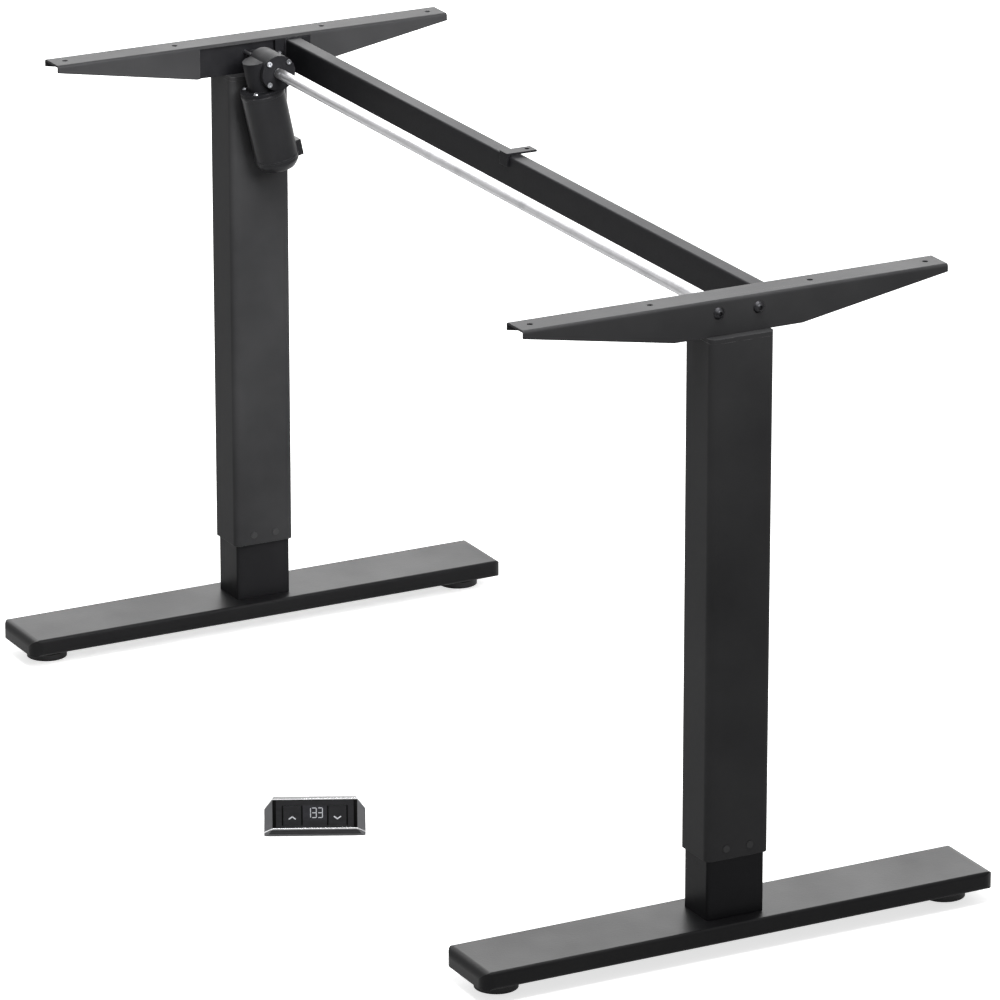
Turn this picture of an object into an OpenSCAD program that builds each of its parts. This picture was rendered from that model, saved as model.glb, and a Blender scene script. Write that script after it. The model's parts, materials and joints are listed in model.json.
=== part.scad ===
// Standing desk frame: two lifting columns on long feet, joined by a crossbeam and a hexagonal drive rod.
// Millimetres, +Z up. The origin is on the floor, midway between the legs.
// X runs from the left leg, which carries the motor, to the right leg. Y runs along the feet.

/* [Frame] */
// Height of the tabletop face of the brackets, as shown
frame_h = 760; // [740:5:800]
// Distance between the centres of the two legs
leg_spacing = 1200; // [900:10:1600]
// How far the frame can go down from the height shown
travel_down = 50; // [20:5:60]

/* [Feet] */
// Length of a foot
foot_len = 656; // [560:4:760]
// Width of a foot
foot_w = 96; // [84:2:120]
// Height of the foot tube
foot_h = 21; // [20:1:30]
// Wall of the foot tube
foot_wall = 2.5; // [2:0.5:3]
// Corner radius of a foot, seen from above
foot_corner_r = 14; // [6:1:20]
// Radius of the long edges of a foot
foot_edge_r = 4; // [2:0.5:6]
// Radius over the top of each end of a foot
foot_nose_r = 10; // [4:1:14]
// Solid length closed off at each end of a foot
foot_end = 14; // [12:1:20]

/* [Levelling glides] */
// Diameter of a glide pad
glide_d = 50; // [36:2:60]
// Height of a glide pad
glide_h = 17; // [12:1:20]
// Distance from the end of the foot to the centre of a glide
glide_inset = 40; // [34:2:80]
// Diameter of the threaded glide stud
glide_stud_d = 10; // [8:1:12]
// Length of stud above the pad
glide_stud_len = 17; // [14:1:17]
// Diameter of the weld nut that holds a stud
glide_nut_d = 18; // [16:1:24]
// Height of the weld nut that holds a stud
glide_nut_h = 9; // [6:1:12]

/* [Columns] */
// Width of the outer column tube, across the feet
outer_w = 62; // [60:1:76]
// Depth of the outer column tube, along the feet
outer_d = 80; // [78:1:100]
// Wall of the outer column tube
outer_wall = 2; // [1.5:0.5:3]
// Corner radius of the outer column tube
outer_corner_r = 8; // [7:0.5:10]
// Length of inner tube in view below the outer tube, as shown
inner_show = 72; // [65:1:120]
// Wall of the inner column tube
inner_wall = 2; // [1.5:0.5:2.5]
// Thickness of the plastic slide liners between the tubes
liner_t = 1.4; // [1:0.1:2]
// Height of each plastic slide liner
liner_h = 40; // [25:1:45]
// Thickness of the plate in the foot of a column
base_t = 8; // [6:1:10]
// Diameter of the bolts that hold a column on its foot
base_bolt_d = 8; // [6:1:8]
// Spacing of those bolts across the foot
base_bolt_x = 28; // [24:1:32]
// Spacing of those bolts along the foot
base_bolt_y = 48; // [36:1:52]
// Thickness of the plate inside the foot, under the column
foot_plate_t = 5; // [3:1:6]
// Length of the plate inside the foot, under the column
foot_plate_len = 150; // [100:5:240]
// Diameter of the pins that hold the guide collar
guide_pin_d = 6; // [4:0.5:8]
// Spacing of the two pins on each face
guide_pin_y = 30; // [20:1:44]
// Height of the pins above the end of the outer tube
guide_pin_z = 12.5; // [8:0.5:16]
// Diameter of the low head of a guide pin
guide_pin_head_d = 8.5; // [8.5:0.5:11]
// Height of the low head of a guide pin
guide_pin_head_h = 0.8; // [0.4:0.1:1.5]

/* [Lift screws] */
// Diameter of the lift screw
spindle_d = 16; // [13:1:18]
// Distance from the plate in the foot of a column to the lower end of the screw
spindle_foot_gap = 124; // [80:2:200]
// Diameter of the screw where it runs in its bearing
spindle_journal_d = 12; // [10:1:12]
// Diameter of the screw's end, which carries the bevel gear
spindle_tip_d = 8; // [6:1:9]
// Outer diameter of the screw bearing
spindle_bearing_d = 28; // [24:1:28]
// Width of the screw bearing
spindle_bearing_w = 8; // [7:1:8]
// Diameter of the flange of the lift nut
nut_flange_d = 36; // [32:1:44]
// Thickness of the flange of the lift nut
nut_flange_t = 4; // [3:1:6]
// Diameter of the body of the lift nut
nut_body_d = 25; // [22:1:28]
// Length of the body of the lift nut, below its flange
nut_body_len = 30; // [22:1:40]
// Thickness of the block that carries the lift nut
carrier_t = 20; // [12:1:24]

/* [Brackets] */
// Length of a side bracket
bracket_len = 530; // [440:10:620]
// Width of a side bracket
bracket_w = 39; // [38:1:46]
// Depth of a side bracket at the column
bracket_depth = 41; // [41:1:46]
// Depth of a side bracket at its ends
bracket_end_depth = 9; // [7:1:16]
// Length of the part of a bracket that has its full depth
bracket_flat = 160; // [156:2:220]
// Thickness of the bracket steel
bracket_t = 2.5; // [2:0.5:3]
// Bend radius outside the bracket's top edges
bracket_bend_r = 3.5; // [3:0.5:5]
// Diameter of the tabletop screw holes
top_hole_d = 7; // [5:0.5:8]
// Distance from the end of a bracket to its outer tabletop screw hole
top_hole_inset = 18; // [12:1:60]
// Spacing of the inner tabletop screw holes along a bracket
top_hole_inner = 200; // [180:2:260]
// Spacing of the two bolts on the outer face of a bracket
bracket_bolt_y = 50; // [44:1:60]
// Depth of those two bolts below the tabletop face
bracket_bolt_drop = 15; // [13:0.5:16]
// Diameter of the bracket bolts
bracket_bolt_d = 8; // [6:1:8]
// Diameter of the heads of the bracket bolts
bracket_bolt_head_d = 14; // [14:0.5:16]
// Height of the heads of the bracket bolts
bracket_bolt_head_h = 4.4; // [3:0.1:6]
// Length of the bracket bolts below their heads
bracket_bolt_len = 14; // [10:1:16]

/* [Gear housings] */
// Length of a gear housing, along the foot
housing_len = 150; // [142:1:154]
// Thickness of the plate that closes the top of a column
head_plate_t = 5; // [4:1:6]
// Drop of the drive rod's axis below the tabletop face
shaft_drop = 27; // [26:0.5:28]
// Diameter of the neck of a housing, which passes down through the plate
neck_d = 34; // [32:1:36]
// Diameter of the boss round the drive rod's bearing
boss_d = 26; // [25:0.5:27]
// Length of the boss round the drive rod's bearing
boss_len = 9; // [8:0.5:10]
// Diameter of the bolts that hold a housing on its plate
housing_bolt_d = 6; // [5:1:6]
// Length of the bolts that hold a housing on its plate
housing_bolt_len = 16; // [12:1:17]
// Spacing of those bolts across the foot
housing_bolt_x = 18; // [16:1:19]
// Spacing of those bolts along the foot
housing_bolt_y = 62; // [58:1:62]

/* [Bevel gears] */
// Pitch radius of a bevel gear at its large end
bevel_r = 11; // [10:0.5:11]
// Number of teeth of a bevel gear
bevel_teeth = 16; // [12:2:20]
// Length of a tooth along the pitch cone
bevel_face = 5; // [4:0.5:5.5]
// Height of a tooth above the pitch cone
bevel_addendum = 1.1; // [0.8:0.1:1.2]
// Depth of a tooth below the pitch cone
bevel_dedendum = 1.5; // [1.5:0.1:1.8]
// Thickness of a tooth on the pitch cone
bevel_tooth_t = 1.5; // [1.2:0.1:1.7]

/* [Drive rod] */
// Width of the hexagonal drive rod across its flats
hex_af = 8; // [6:0.5:8]
// Outer diameter of the sleeve over the rod between the legs
sleeve_d = 13; // [12:0.5:15]
// Clear length between the sleeve and what the rod runs through at each end
sleeve_gap = 2; // [1:0.5:6]
// Diameter of the hubs that run in the rod's bearings
shaft_journal_d = 12; // [12:0.5:12.5]
// Outer diameter of the rod's bearings
shaft_bearing_d = 21; // [19:1:21]
// Width of the rod's bearings
shaft_bearing_w = 5; // [4:1:6]

/* [Crossbeam] */
// Height of the crossbeam
beam_h = 37; // [33:1:37]
// Thickness of the crossbeam
beam_t = 20; // [18:1:24]
// Wall of the crossbeam tube
beam_wall = 1.5; // [1:0.5:2.5]
// Corner radius of the crossbeam tube
beam_r = 2.5; // [2.5:0.5:4]
// Drop of the crossbeam's upper face below the tabletop face
beam_drop = 4; // [3.5:0.5:5]
// Thickness of the plates on the ends of the crossbeam
beam_plate_t = 5; // [4:1:6]
// Width of the plates on the ends of the crossbeam
beam_plate_w = 48; // [46:1:49]
// Distance from the back of a gear housing to the edge of a plate
beam_plate_inset = 1; // [0:0.5:4]
// Spacing of the two bolts in each plate
beam_bolt_y = 35; // [33:0.5:36]
// Diameter of the bolts in the end plates
beam_bolt_d = 6; // [5:1:6]
// Diameter of the heads of those bolts
beam_bolt_head_d = 10.5; // [9:0.5:11]
// Height of the heads of those bolts
beam_bolt_head_h = 3.3; // [2:0.1:5]
// Length of those bolts below their heads
beam_bolt_len = 16; // [12:1:16]
// Width of the tabletop tab at the middle of the crossbeam
tab_w = 18; // [16:1:60]
// Reach of the tab beyond the back of the crossbeam
tab_reach = 17; // [14:1:40]
// Thickness of the tab
tab_t = 2.5; // [1.5:0.5:3]
// Length of the tab's lip down the front of the crossbeam
tab_lip = 16; // [10:1:28]
// Diameter of the screw hole in the tab
tab_hole_d = 6; // [4:0.5:8]

/* [Motor] */
// Diameter of the motor
motor_d = 54; // [48:1:54]
// Length of the motor, from its gearbox to its end
motor_len = 101; // [80:1:120]
// Length of the rounded cap on the motor's end
motor_cap_len = 14; // [8:1:20]
// Width of the plug socket on the back of the motor
motor_plug_w = 16; // [10:1:20]
// Height of the plug socket on the back of the motor
motor_plug_h = 20; // [12:1:24]
// Distance from the motor's end to its plug socket
motor_plug_rise = 7; // [4:1:20]
// How far the plug socket stands out from the motor
motor_plug_proud = 6; // [3:1:8]
// Tilt of the motor from upright
motor_tilt = 12; // [0:1:14]
// Distance from the leg's centre to the motor's axis
motor_offset = 60; // [60:1:70]
// Distance between the axes of the worm and the drive rod
worm_offset = 16; // [16:0.5:18]
// Diameter of the worm
worm_d = 9; // [7:0.5:9]
// Diameter of the worm wheel
wheel_d = 22; // [18:1:22]
// Width of the worm wheel
wheel_w = 10; // [8:1:14]
// Number of teeth of the worm wheel
wheel_teeth = 24; // [18:1:30]
// Diameter of the drum of the gearbox
drum_d = 44; // [42:1:44]
// Width of the drum of the gearbox, along the drive rod
drum_w = 42; // [38:1:50]
// Drop from the worm wheel to the face that the motor is bolted on
motor_drop = 24; // [22:1:28]
// Diameter of the gearbox round the worm
worm_tube_d = 34; // [30:1:40]
// Thickness of the gearbox cover
cover_t = 4; // [3:0.5:5]
// Diameter of the gearbox screws
cover_screw_d = 4; // [3:0.5:4]
// Circle on which the gearbox screws lie
cover_screw_pcd = 37; // [36:0.5:38]

/* [Handset] */
// Width of the handset
set_w = 118; // [104:1:150]
// Height of the handset's front, along its slope
set_h = 47; // [44:1:56]
// Depth of the handset's case behind its bevels
set_d = 28; // [24:1:40]
// Lean of the handset's front from upright
set_lean = 19; // [10:1:24]
// Width of the chamfers at the upper corners of the handset
set_shoulder_w = 11; // [6:1:14]
// Height of the chamfers at the upper corners of the handset
set_shoulder_h = 14; // [8:1:16]
// Wall of the handset's case
set_wall = 2; // [1.5:0.5:2.5]
// Depth of the bevels round the handset's front panel
bevel_d = 7; // [5:1:9]
// Width of the front panel
panel_w = 99; // [90:1:100]
// Height of the front panel
panel_h = 33; // [30:1:34]
// Height of the bevel below the front panel
panel_rise = 11.5; // [9:0.5:12]
// Thickness of the front panel
panel_t = 2; // [1.5:0.5:3]
// Width of a button
button_w = 20.6; // [16:0.2:22]
// Height of a button
button_h = 23; // [18:1:25]
// Distance from the handset's middle to the middle of a button
button_x = 26.3; // [24:0.1:27]
// Height of a button's lower edge above the panel's lower edge
button_rise = 3; // [2:0.5:4]
// Travel of a button
button_travel = 0.8; // [0.5:0.1:1]
// Width of the display window
window_w = 29; // [22:1:30]
// Height of the display window
window_h = 17; // [12:1:20]
// Height of the display window's lower edge above the panel's lower edge
window_rise = 9; // [6:1:12]
// Thickness of the circuit board
board_t = 1.6; // [1:0.2:2]
// Thickness of the handset's base
set_base_t = 2.5; // [2:0.5:3]
// Spacing of the handset's mounting holes
set_hole_x = 80; // [60:2:90]
// Diameter of the handset's mounting holes
set_hole_d = 4; // [3:0.5:5]
// Distance of the handset from the middle of the frame, towards the right leg
set_place_x = 110; // [-300:10:300]
// Distance of the handset in front of the middle of the frame
set_place_y = 268; // [200:2:268]
// Turn of the handset's front, from facing the front of the frame
set_turn = 64; // [-90:1:90]

/* [Hidden] */
$fn = 96;

// Clearances
cut = 1;                 // overrun of every cut
slide_clear = 0.3;       // between sliding flat or liner faces
run_clear = 0.05;        // radial, between a shaft and its hole
screw_clear = 0.3;       // radial, round a screw in a clearance hole
press_clear = 0.02;      // radial, between a bearing and its seat

// Heights
foot_floor = glide_h + foot_wall;
foot_top = glide_h + foot_h;
shaft_z = frame_h - shaft_drop;
bracket_bottom = frame_h - bracket_depth;
outer_top = bracket_bottom - head_plate_t;
outer_bottom = foot_top + inner_show;
neck_len = spindle_bearing_w + head_plate_t / 2;
neck_bottom = bracket_bottom - neck_len;
head_gap = 8.5;          // left above the inner tube at the lowest height
inner_top = neck_bottom - head_gap - travel_down;
base_top = foot_top + base_t;
foot_plate_w = foot_w - 2 * (foot_wall + slide_clear);
foot_plate_z = foot_top - foot_wall - foot_plate_t;
head_share = 1.6;        // width of a socket screw's head, as a share of its thread
base_bolt_head_d = head_share * base_bolt_d;

// Column sections
tube_gap = liner_t + slide_clear;
outer_in_w = outer_w - 2 * outer_wall;
outer_in_d = outer_d - 2 * outer_wall;
outer_in_r = outer_corner_r - outer_wall;
inner_w = outer_in_w - 2 * tube_gap;
inner_d = outer_in_d - 2 * tube_gap;
inner_r = outer_in_r - tube_gap;
inner_in_w = inner_w - 2 * inner_wall;
inner_in_d = inner_d - 2 * inner_wall;
inner_in_r = inner_r - inner_wall;

// Lift screws
nut_top = inner_top;
nut_bottom = nut_top - nut_flange_t - nut_body_len;
spindle_bottom = base_top + spindle_foot_gap;
bearing_lip = 1;         // shoulder above the screw bearing's seat
spindle_bearing_top = neck_bottom + spindle_bearing_w + bearing_lip;
spindle_bearing_bottom = spindle_bearing_top - spindle_bearing_w;
spindle_shoulder = spindle_bearing_bottom - 2 * run_clear;
bevel_back = bevel_r + bevel_dedendum;       // from the crossing of the axes to the back of a bevel gear
spindle_gear_back = shaft_z - bevel_back;
spindle_tip_top = shaft_z - bevel_r + bevel_face / 2;

// Gear housing
housing_half_w = bracket_w / 2 - bracket_t;
housing_top = frame_h - bracket_t;
bracket_gap = housing_len + 2 * slide_clear;
top_hole_outer = bracket_len - 2 * top_hole_inset;
gear_space_r = bevel_r + 2 * bevel_addendum + slide_clear;
boss_end = housing_half_w + boss_len;
rod_bearing_start = housing_half_w + bearing_lip;
housing_bolt_head_d = head_share * housing_bolt_d;
housing_bolt_head_h = housing_bolt_d - 2 * slide_clear;

// Crossbeam
beam_top = frame_h - beam_drop;
beam_mid_z = beam_top - beam_h / 2;
beam_y = (housing_len - beam_plate_w) / 2 - beam_plate_inset;
beam_plate_outer = leg_spacing / 2 - housing_half_w;
beam_half = beam_plate_outer - beam_plate_t;

// Drive rod and gearbox
hex_corner_d = hex_af / cos(30);
hex_clear = 0.05;
rod_end = leg_spacing / 2 - bevel_r + bevel_face / 2;
drum_start = motor_offset - drum_w / 2;
drum_end = motor_offset + drum_w / 2;
sleeve_start = drum_end + cover_t + sleeve_gap - leg_spacing / 2;
sleeve_end = leg_spacing / 2 - boss_end - sleeve_gap;
hub_gap = 1;             // between the hub of the rod's gear and the hub of the worm wheel
wheel_space_d = wheel_d + 4 * slide_clear;
cover_screw_head_d = head_share * cover_screw_d;
long_screw_end = housing_half_w - 1.5 * cover_screw_d;
worm_end_y = -worm_offset * cos(motor_tilt);
worm_end_z = -worm_offset * sin(motor_tilt);

// Handset
board_gap = 5;           // between the bevels and the circuit board
board_y = bevel_d + board_gap;
board_w = panel_w - 2 * set_wall;
button_skirt = 1;        // part of a button behind the front panel
button_t = panel_t + button_skirt;
button_stem_d = 3;
button_mid = panel_rise + button_rise + button_h / 2;
switch_h = 2;
switch_w = 2 * button_stem_d;
switch_y = board_y - switch_h;
socket_w = 14;
socket_h = 9;
socket_rise = 20;
trim_h = 1.2;
trim_proud = 0.3;
trim_t = 1.5;
trim_low = set_base_t + bevel_d / 2;
set_screw_d = 3;
set_screw_len = 12;
set_screw_head_d = 5.6;
set_screw_head_h = 1.5;
set_post_d = 7;
set_post_h = 18;

module rounded_rect(w, d, r) {
    square([w - 2 * r, d], center = true);
    square([w, d - 2 * r], center = true);
    for (x = [-1, 1], y = [-1, 1])
        translate([x * (w / 2 - r), y * (d / 2 - r)])
            circle(r);
}

module rounded_bar(w, d, r, z0, z1) {
    translate([0, 0, z0])
        linear_extrude(z1 - z0)
            rounded_rect(w, d, r);
}

// A straight round bar along Z from z0 to z1
module bar_z(d, z0, z1) {
    translate([0, 0, z0])
        cylinder(d = d, h = z1 - z0);
}

// A straight round bar along X from x0 to x1
module bar_x(d, x0, x1) {
    translate([x0, 0, 0])
        rotate([0, 90, 0])
            cylinder(d = d, h = x1 - x0);
}

// A leg's own frame: X = 0 at the leg's centre, +X inwards
module at_leg(side) {
    translate([side * leg_spacing / 2, 0, 0])
        if (side > 0)
            mirror([1, 0, 0])
                children();
        else
            children();
}

module at_both_legs() {
    for (side = [-1, 1])
        at_leg(side)
            children();
}

// The four corners of a rectangle
module at_corners(x, y) {
    for (i = [-1, 1], j = [-1, 1])
        translate([i * x / 2, j * y / 2, 0])
            children();
}

module foot_body() {
    intersection() {
        rounded_bar(foot_w, foot_len, foot_corner_r, glide_h, foot_top);
        rotate([90, 0, 90])
            translate([0, glide_h, -foot_w / 2 - cut])
                linear_extrude(foot_w + 2 * cut)
                    foot_side();
        rotate([90, 0, 0])
            translate([0, glide_h + foot_h / 2, -foot_len / 2 - cut])
                linear_extrude(foot_len + 2 * cut)
                    rounded_rect(foot_w, foot_h, foot_edge_r);
    }
}

// Side view of a foot: its upper ends are rounded over
module foot_side() {
    translate([-foot_len / 2, 0])
        square([foot_len, foot_h - foot_nose_r]);
    translate([-foot_len / 2 + foot_nose_r, 0])
        square([foot_len - 2 * foot_nose_r, foot_h]);
    for (side = [-1, 1])
        translate([side * (foot_len / 2 - foot_nose_r), foot_h - foot_nose_r])
            circle(foot_nose_r);
}

module at_glide(end) {
    translate([0, end * (foot_len / 2 - glide_inset), 0])
        children();
}

module foot() {
    color("#1d1d1f")
        difference() {
            union() {
                difference() {
                    foot_body();
                    translate([-foot_w / 2 + foot_wall, -foot_len / 2 + foot_end, foot_floor])
                        cube([foot_w - 2 * foot_wall, foot_len - 2 * foot_end, foot_h - 2 * foot_wall]);
                }
                for (end = [-1, 1])
                    at_glide(end)
                        bar_z(glide_nut_d, glide_h + foot_wall / 2, foot_floor + glide_nut_h);
            }
            for (end = [-1, 1])
                at_glide(end)
                    bar_z(glide_stud_d + 2 * run_clear, glide_h - cut, foot_top - foot_wall);
            at_corners(base_bolt_x, base_bolt_y) {
                bar_z(base_bolt_d + 2 * screw_clear, foot_top - foot_wall - cut, foot_top + cut);
                bar_z(2 * base_bolt_d, glide_h - cut, foot_floor + cut);
            }
        }
}

// A levelling glide: a stepped pad with its threaded stud
module glide(end) {
    rim_share = 0.45;
    stud_top = glide_h + glide_stud_len;
    color("#141416")
        at_glide(end)
            rotate_extrude()
                polygon([
                    [0, 0], [glide_d / 2, 0], [glide_d / 2, rim_share * glide_h],
                    [glide_d / 2 - (1 - rim_share) * glide_h, glide_h],
                    [glide_stud_d / 2, glide_h], [glide_stud_d / 2, stud_top], [0, stud_top]
                ]);
}

module foot_plate() {
    color("#4a4b4d")
        difference() {
            translate([-foot_plate_w / 2, -foot_plate_len / 2, foot_plate_z])
                cube([foot_plate_w, foot_plate_len, foot_plate_t]);
            at_corners(base_bolt_x, base_bolt_y)
                bar_z(base_bolt_d + 2 * screw_clear, foot_plate_z - cut, foot_top);
        }
}

// A socket head screw that points up, with the underside of its head at z = 0
module socket_screw(d, len, head_d, head_h) {
    socket_share = 0.9;
    depth_share = 0.55;
    difference() {
        union() {
            bar_z(d, 0, len);
            bar_z(head_d, -head_h, 0);
        }
        translate([0, 0, -head_h - cut])
            cylinder(d = socket_share * d, h = depth_share * head_h + cut, $fn = 6);
    }
}

module foot_bolts() {
    color("#8b8d90")
        at_corners(base_bolt_x, base_bolt_y)
            translate([0, 0, foot_plate_z])
                socket_screw(base_bolt_d, base_top - foot_plate_z, base_bolt_head_d, base_bolt_d);
}

module inner_tube() {
    color("#202022")
        difference() {
            rounded_bar(inner_w, inner_d, inner_r, foot_top, inner_top);
            rounded_bar(inner_in_w, inner_in_d, inner_in_r, foot_top - cut, inner_top + cut);
        }
}

module column_base() {
    color("#4a4b4d")
        difference() {
            rounded_bar(inner_in_w, inner_in_d, inner_in_r, foot_top, base_top);
            at_corners(base_bolt_x, base_bolt_y)
                bar_z(base_bolt_d + 2 * run_clear, foot_top - cut, base_top + cut);
        }
}

// The slide liner on the upper end of the inner tube
module slide_shoe() {
    color("#1b1b1c")
        difference() {
            rounded_bar(inner_w + 2 * liner_t, inner_d + 2 * liner_t, inner_r + liner_t,
                inner_top - liner_h, inner_top);
            rounded_bar(inner_w, inner_d, inner_r, inner_top - liner_h - cut, inner_top + cut);
        }
}

module nut_carrier() {
    color("#4a4b4d")
        difference() {
            rounded_bar(inner_in_w, inner_in_d, inner_in_r,
                nut_top - nut_flange_t - carrier_t, nut_top - nut_flange_t);
            bar_z(nut_body_d + 2 * run_clear, nut_bottom - cut, inner_top + cut);
        }
}

module spindle_nut() {
    color("#b08d45")
        difference() {
            union() {
                bar_z(nut_flange_d, nut_top - nut_flange_t, nut_top);
                bar_z(nut_body_d, nut_bottom, nut_top);
            }
            bar_z(spindle_d + 2 * run_clear, nut_bottom - cut, nut_top + cut);
        }
}

// Places of the guide pins on both flat faces of a column, each pointing outwards along +X
module at_guide_pins() {
    for (face = [0, 180], end = [-1, 1])
        rotate([0, 0, face])
            translate([outer_w / 2, end * guide_pin_y / 2, outer_bottom + guide_pin_z])
                children();
}

module outer_tube() {
    color("#333436")
        difference() {
            rounded_bar(outer_w, outer_d, outer_corner_r, outer_bottom, outer_top);
            rounded_bar(outer_in_w, outer_in_d, outer_in_r, outer_bottom - cut, outer_top + cut);
            at_guide_pins()
                bar_x(guide_pin_d + 2 * run_clear, -outer_wall - cut, cut);
        }
}

// The slide liner in the lower end of the outer tube
module guide_collar() {
    color("#1b1b1c")
        difference() {
            rounded_bar(outer_in_w, outer_in_d, outer_in_r, outer_bottom, outer_bottom + liner_h);
            rounded_bar(outer_in_w - 2 * liner_t, outer_in_d - 2 * liner_t, outer_in_r - liner_t,
                outer_bottom - cut, outer_bottom + liner_h + cut);
            at_guide_pins()
                bar_x(guide_pin_d + 2 * run_clear, -outer_wall - liner_t - cut, cut);
        }
}

module guide_pins() {
    color("#2a2a2c")
        at_guide_pins() {
            bar_x(guide_pin_d, -outer_wall - liner_t, guide_pin_head_h);
            bar_x(guide_pin_head_d, 0, guide_pin_head_h);
        }
}

module head_plate() {
    color("#2b2b2d")
        difference() {
            rounded_bar(outer_w, outer_d, outer_corner_r, outer_top, bracket_bottom);
            bar_z(neck_d + 2 * slide_clear, outer_top - cut, bracket_bottom + cut);
            at_corners(housing_bolt_x, housing_bolt_y)
                bar_z(housing_bolt_d + 2 * screw_clear, outer_top - cut, bracket_bottom + cut);
        }
}

// Places of the two bolts on the outer face of a bracket, each pointing inwards along +X
module at_bracket_bolts() {
    for (end = [-1, 1])
        translate([-bracket_w / 2, end * bracket_bolt_y / 2, frame_h - bracket_bolt_drop])
            children();
}

// Places of the crossbeam's bolts on a housing, each pointing outwards along -X
module at_beam_bolts() {
    for (end = [-1, 1])
        translate([housing_half_w + beam_plate_t, beam_y + end * beam_bolt_y / 2, beam_mid_z])
            children();
}

// The left housing also takes the two long screws of the gearbox
module gear_housing(carries_gearbox) {
    color("#17171a")
        difference() {
            union() {
                translate([-housing_half_w, -housing_len / 2, bracket_bottom])
                    cube([2 * housing_half_w, housing_len, housing_top - bracket_bottom]);
                bar_z(neck_d, neck_bottom, bracket_bottom + cut);
                translate([0, 0, shaft_z])
                    bar_x(boss_d, 0, boss_end);
            }
            bar_z(2 * gear_space_r, spindle_bearing_top + bearing_lip, shaft_z + gear_space_r);
            bar_z(spindle_bearing_d + 2 * press_clear, neck_bottom - cut, spindle_bearing_top);
            bar_z(spindle_bearing_d - 4 * bearing_lip, neck_bottom, shaft_z);
            translate([0, 0, shaft_z]) {
                bar_x(2 * gear_space_r, 0, bevel_back + slide_clear);
                bar_x(shaft_bearing_d - 4 * bearing_lip, 0, boss_end + cut);
                bar_x(shaft_bearing_d + 2 * press_clear, rod_bearing_start, boss_end + cut);
            }
            at_corners(housing_bolt_x, housing_bolt_y)
                bar_z(housing_bolt_d + 2 * run_clear, bracket_bottom - cut,
                    outer_top + housing_bolt_len + cut);
            at_bracket_bolts()
                bar_x(bracket_bolt_d + 2 * run_clear, 0, bracket_bolt_len + cut);
            at_beam_bolts()
                bar_x(beam_bolt_d + 2 * run_clear, -beam_bolt_len - cut, 0);
            if (carries_gearbox)
                translate([0, 0, shaft_z])
                    at_cover_screws(1)
                        bar_x(cover_screw_d + 2 * run_clear, long_screw_end - cut / 2, housing_half_w + cut);
        }
}

module spindle_bearing() {
    color("#9fa1a4")
        difference() {
            bar_z(spindle_bearing_d, spindle_bearing_bottom, spindle_bearing_top);
            bar_z(spindle_journal_d + 2 * run_clear, spindle_bearing_bottom - cut,
                spindle_bearing_top + cut);
        }
}

module housing_bolts() {
    color("#8b8d90")
        at_corners(housing_bolt_x, housing_bolt_y)
            translate([0, 0, outer_top])
                socket_screw(housing_bolt_d, housing_bolt_len, housing_bolt_head_d, housing_bolt_head_h);
}

// Side view of a bracket: full depth at the column, tapering to its ends
module bracket_side() {
    polygon([
        [-bracket_len / 2, 0], [bracket_len / 2, 0],
        [bracket_len / 2, -bracket_end_depth], [bracket_flat / 2, -bracket_depth],
        [-bracket_flat / 2, -bracket_depth], [-bracket_len / 2, -bracket_end_depth]
    ]);
}

// End view of a bracket: a channel open downwards, with bent upper corners
module bracket_channel() {
    difference() {
        translate([0, -bracket_depth])
            rounded_rect(bracket_w, 2 * bracket_depth, bracket_bend_r);
        translate([-bracket_w / 2 + bracket_t, -2 * bracket_depth - cut])
            square([bracket_w - 2 * bracket_t, 2 * bracket_depth + cut - bracket_t]);
    }
}

module bracket() {
    color("#3a3b3d")
        difference() {
            intersection() {
                translate([0, bracket_len / 2, frame_h])
                    rotate([90, 0, 0])
                        linear_extrude(bracket_len)
                            bracket_channel();
                translate([-bracket_w / 2 - cut, 0, frame_h])
                    rotate([90, 0, 90])
                        linear_extrude(bracket_w + 2 * cut)
                            bracket_side();
            }
            translate([bracket_w / 2 - bracket_t - cut, -bracket_gap / 2, bracket_bottom - cut])
                cube([bracket_t + 2 * cut, bracket_gap, bracket_depth + cut - bracket_bend_r]);
            for (pitch = [top_hole_outer, top_hole_inner], end = [-1, 1])
                translate([0, end * pitch / 2, 0])
                    bar_z(top_hole_d, frame_h - bracket_t - cut, frame_h + cut);
            at_bracket_bolts()
                bar_x(bracket_bolt_d + 2 * screw_clear, -cut, bracket_t + cut);
        }
}

// A low rounded screw head whose flat side is at z = 0 and which points down
module button_head(d, h) {
    socket_share = 0.4;
    depth_share = 0.6;
    crown_r = (d * d / 4 + h * h) / (2 * h);
    difference() {
        intersection() {
            bar_z(d, -h, 0);
            translate([0, 0, crown_r - h])
                sphere(crown_r);
        }
        translate([0, 0, -h - cut])
            cylinder(d = socket_share * d, h = depth_share * h + cut, $fn = 6);
    }
}

module bracket_bolts() {
    color("#6d6f72")
        at_bracket_bolts()
            rotate([0, 90, 0]) {
                bar_z(bracket_bolt_d, -bracket_bolt_head_h / 4, bracket_bolt_len);
                button_head(bracket_bolt_head_d, bracket_bolt_head_h);
            }
}

module spindle() {
    color("#b9bbbe") {
        bar_z(spindle_d, spindle_bottom, spindle_shoulder);
        bar_z(spindle_journal_d, spindle_bottom, spindle_gear_back);
        bar_z(spindle_tip_d, spindle_bottom, spindle_tip_top);
    }
}

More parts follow.
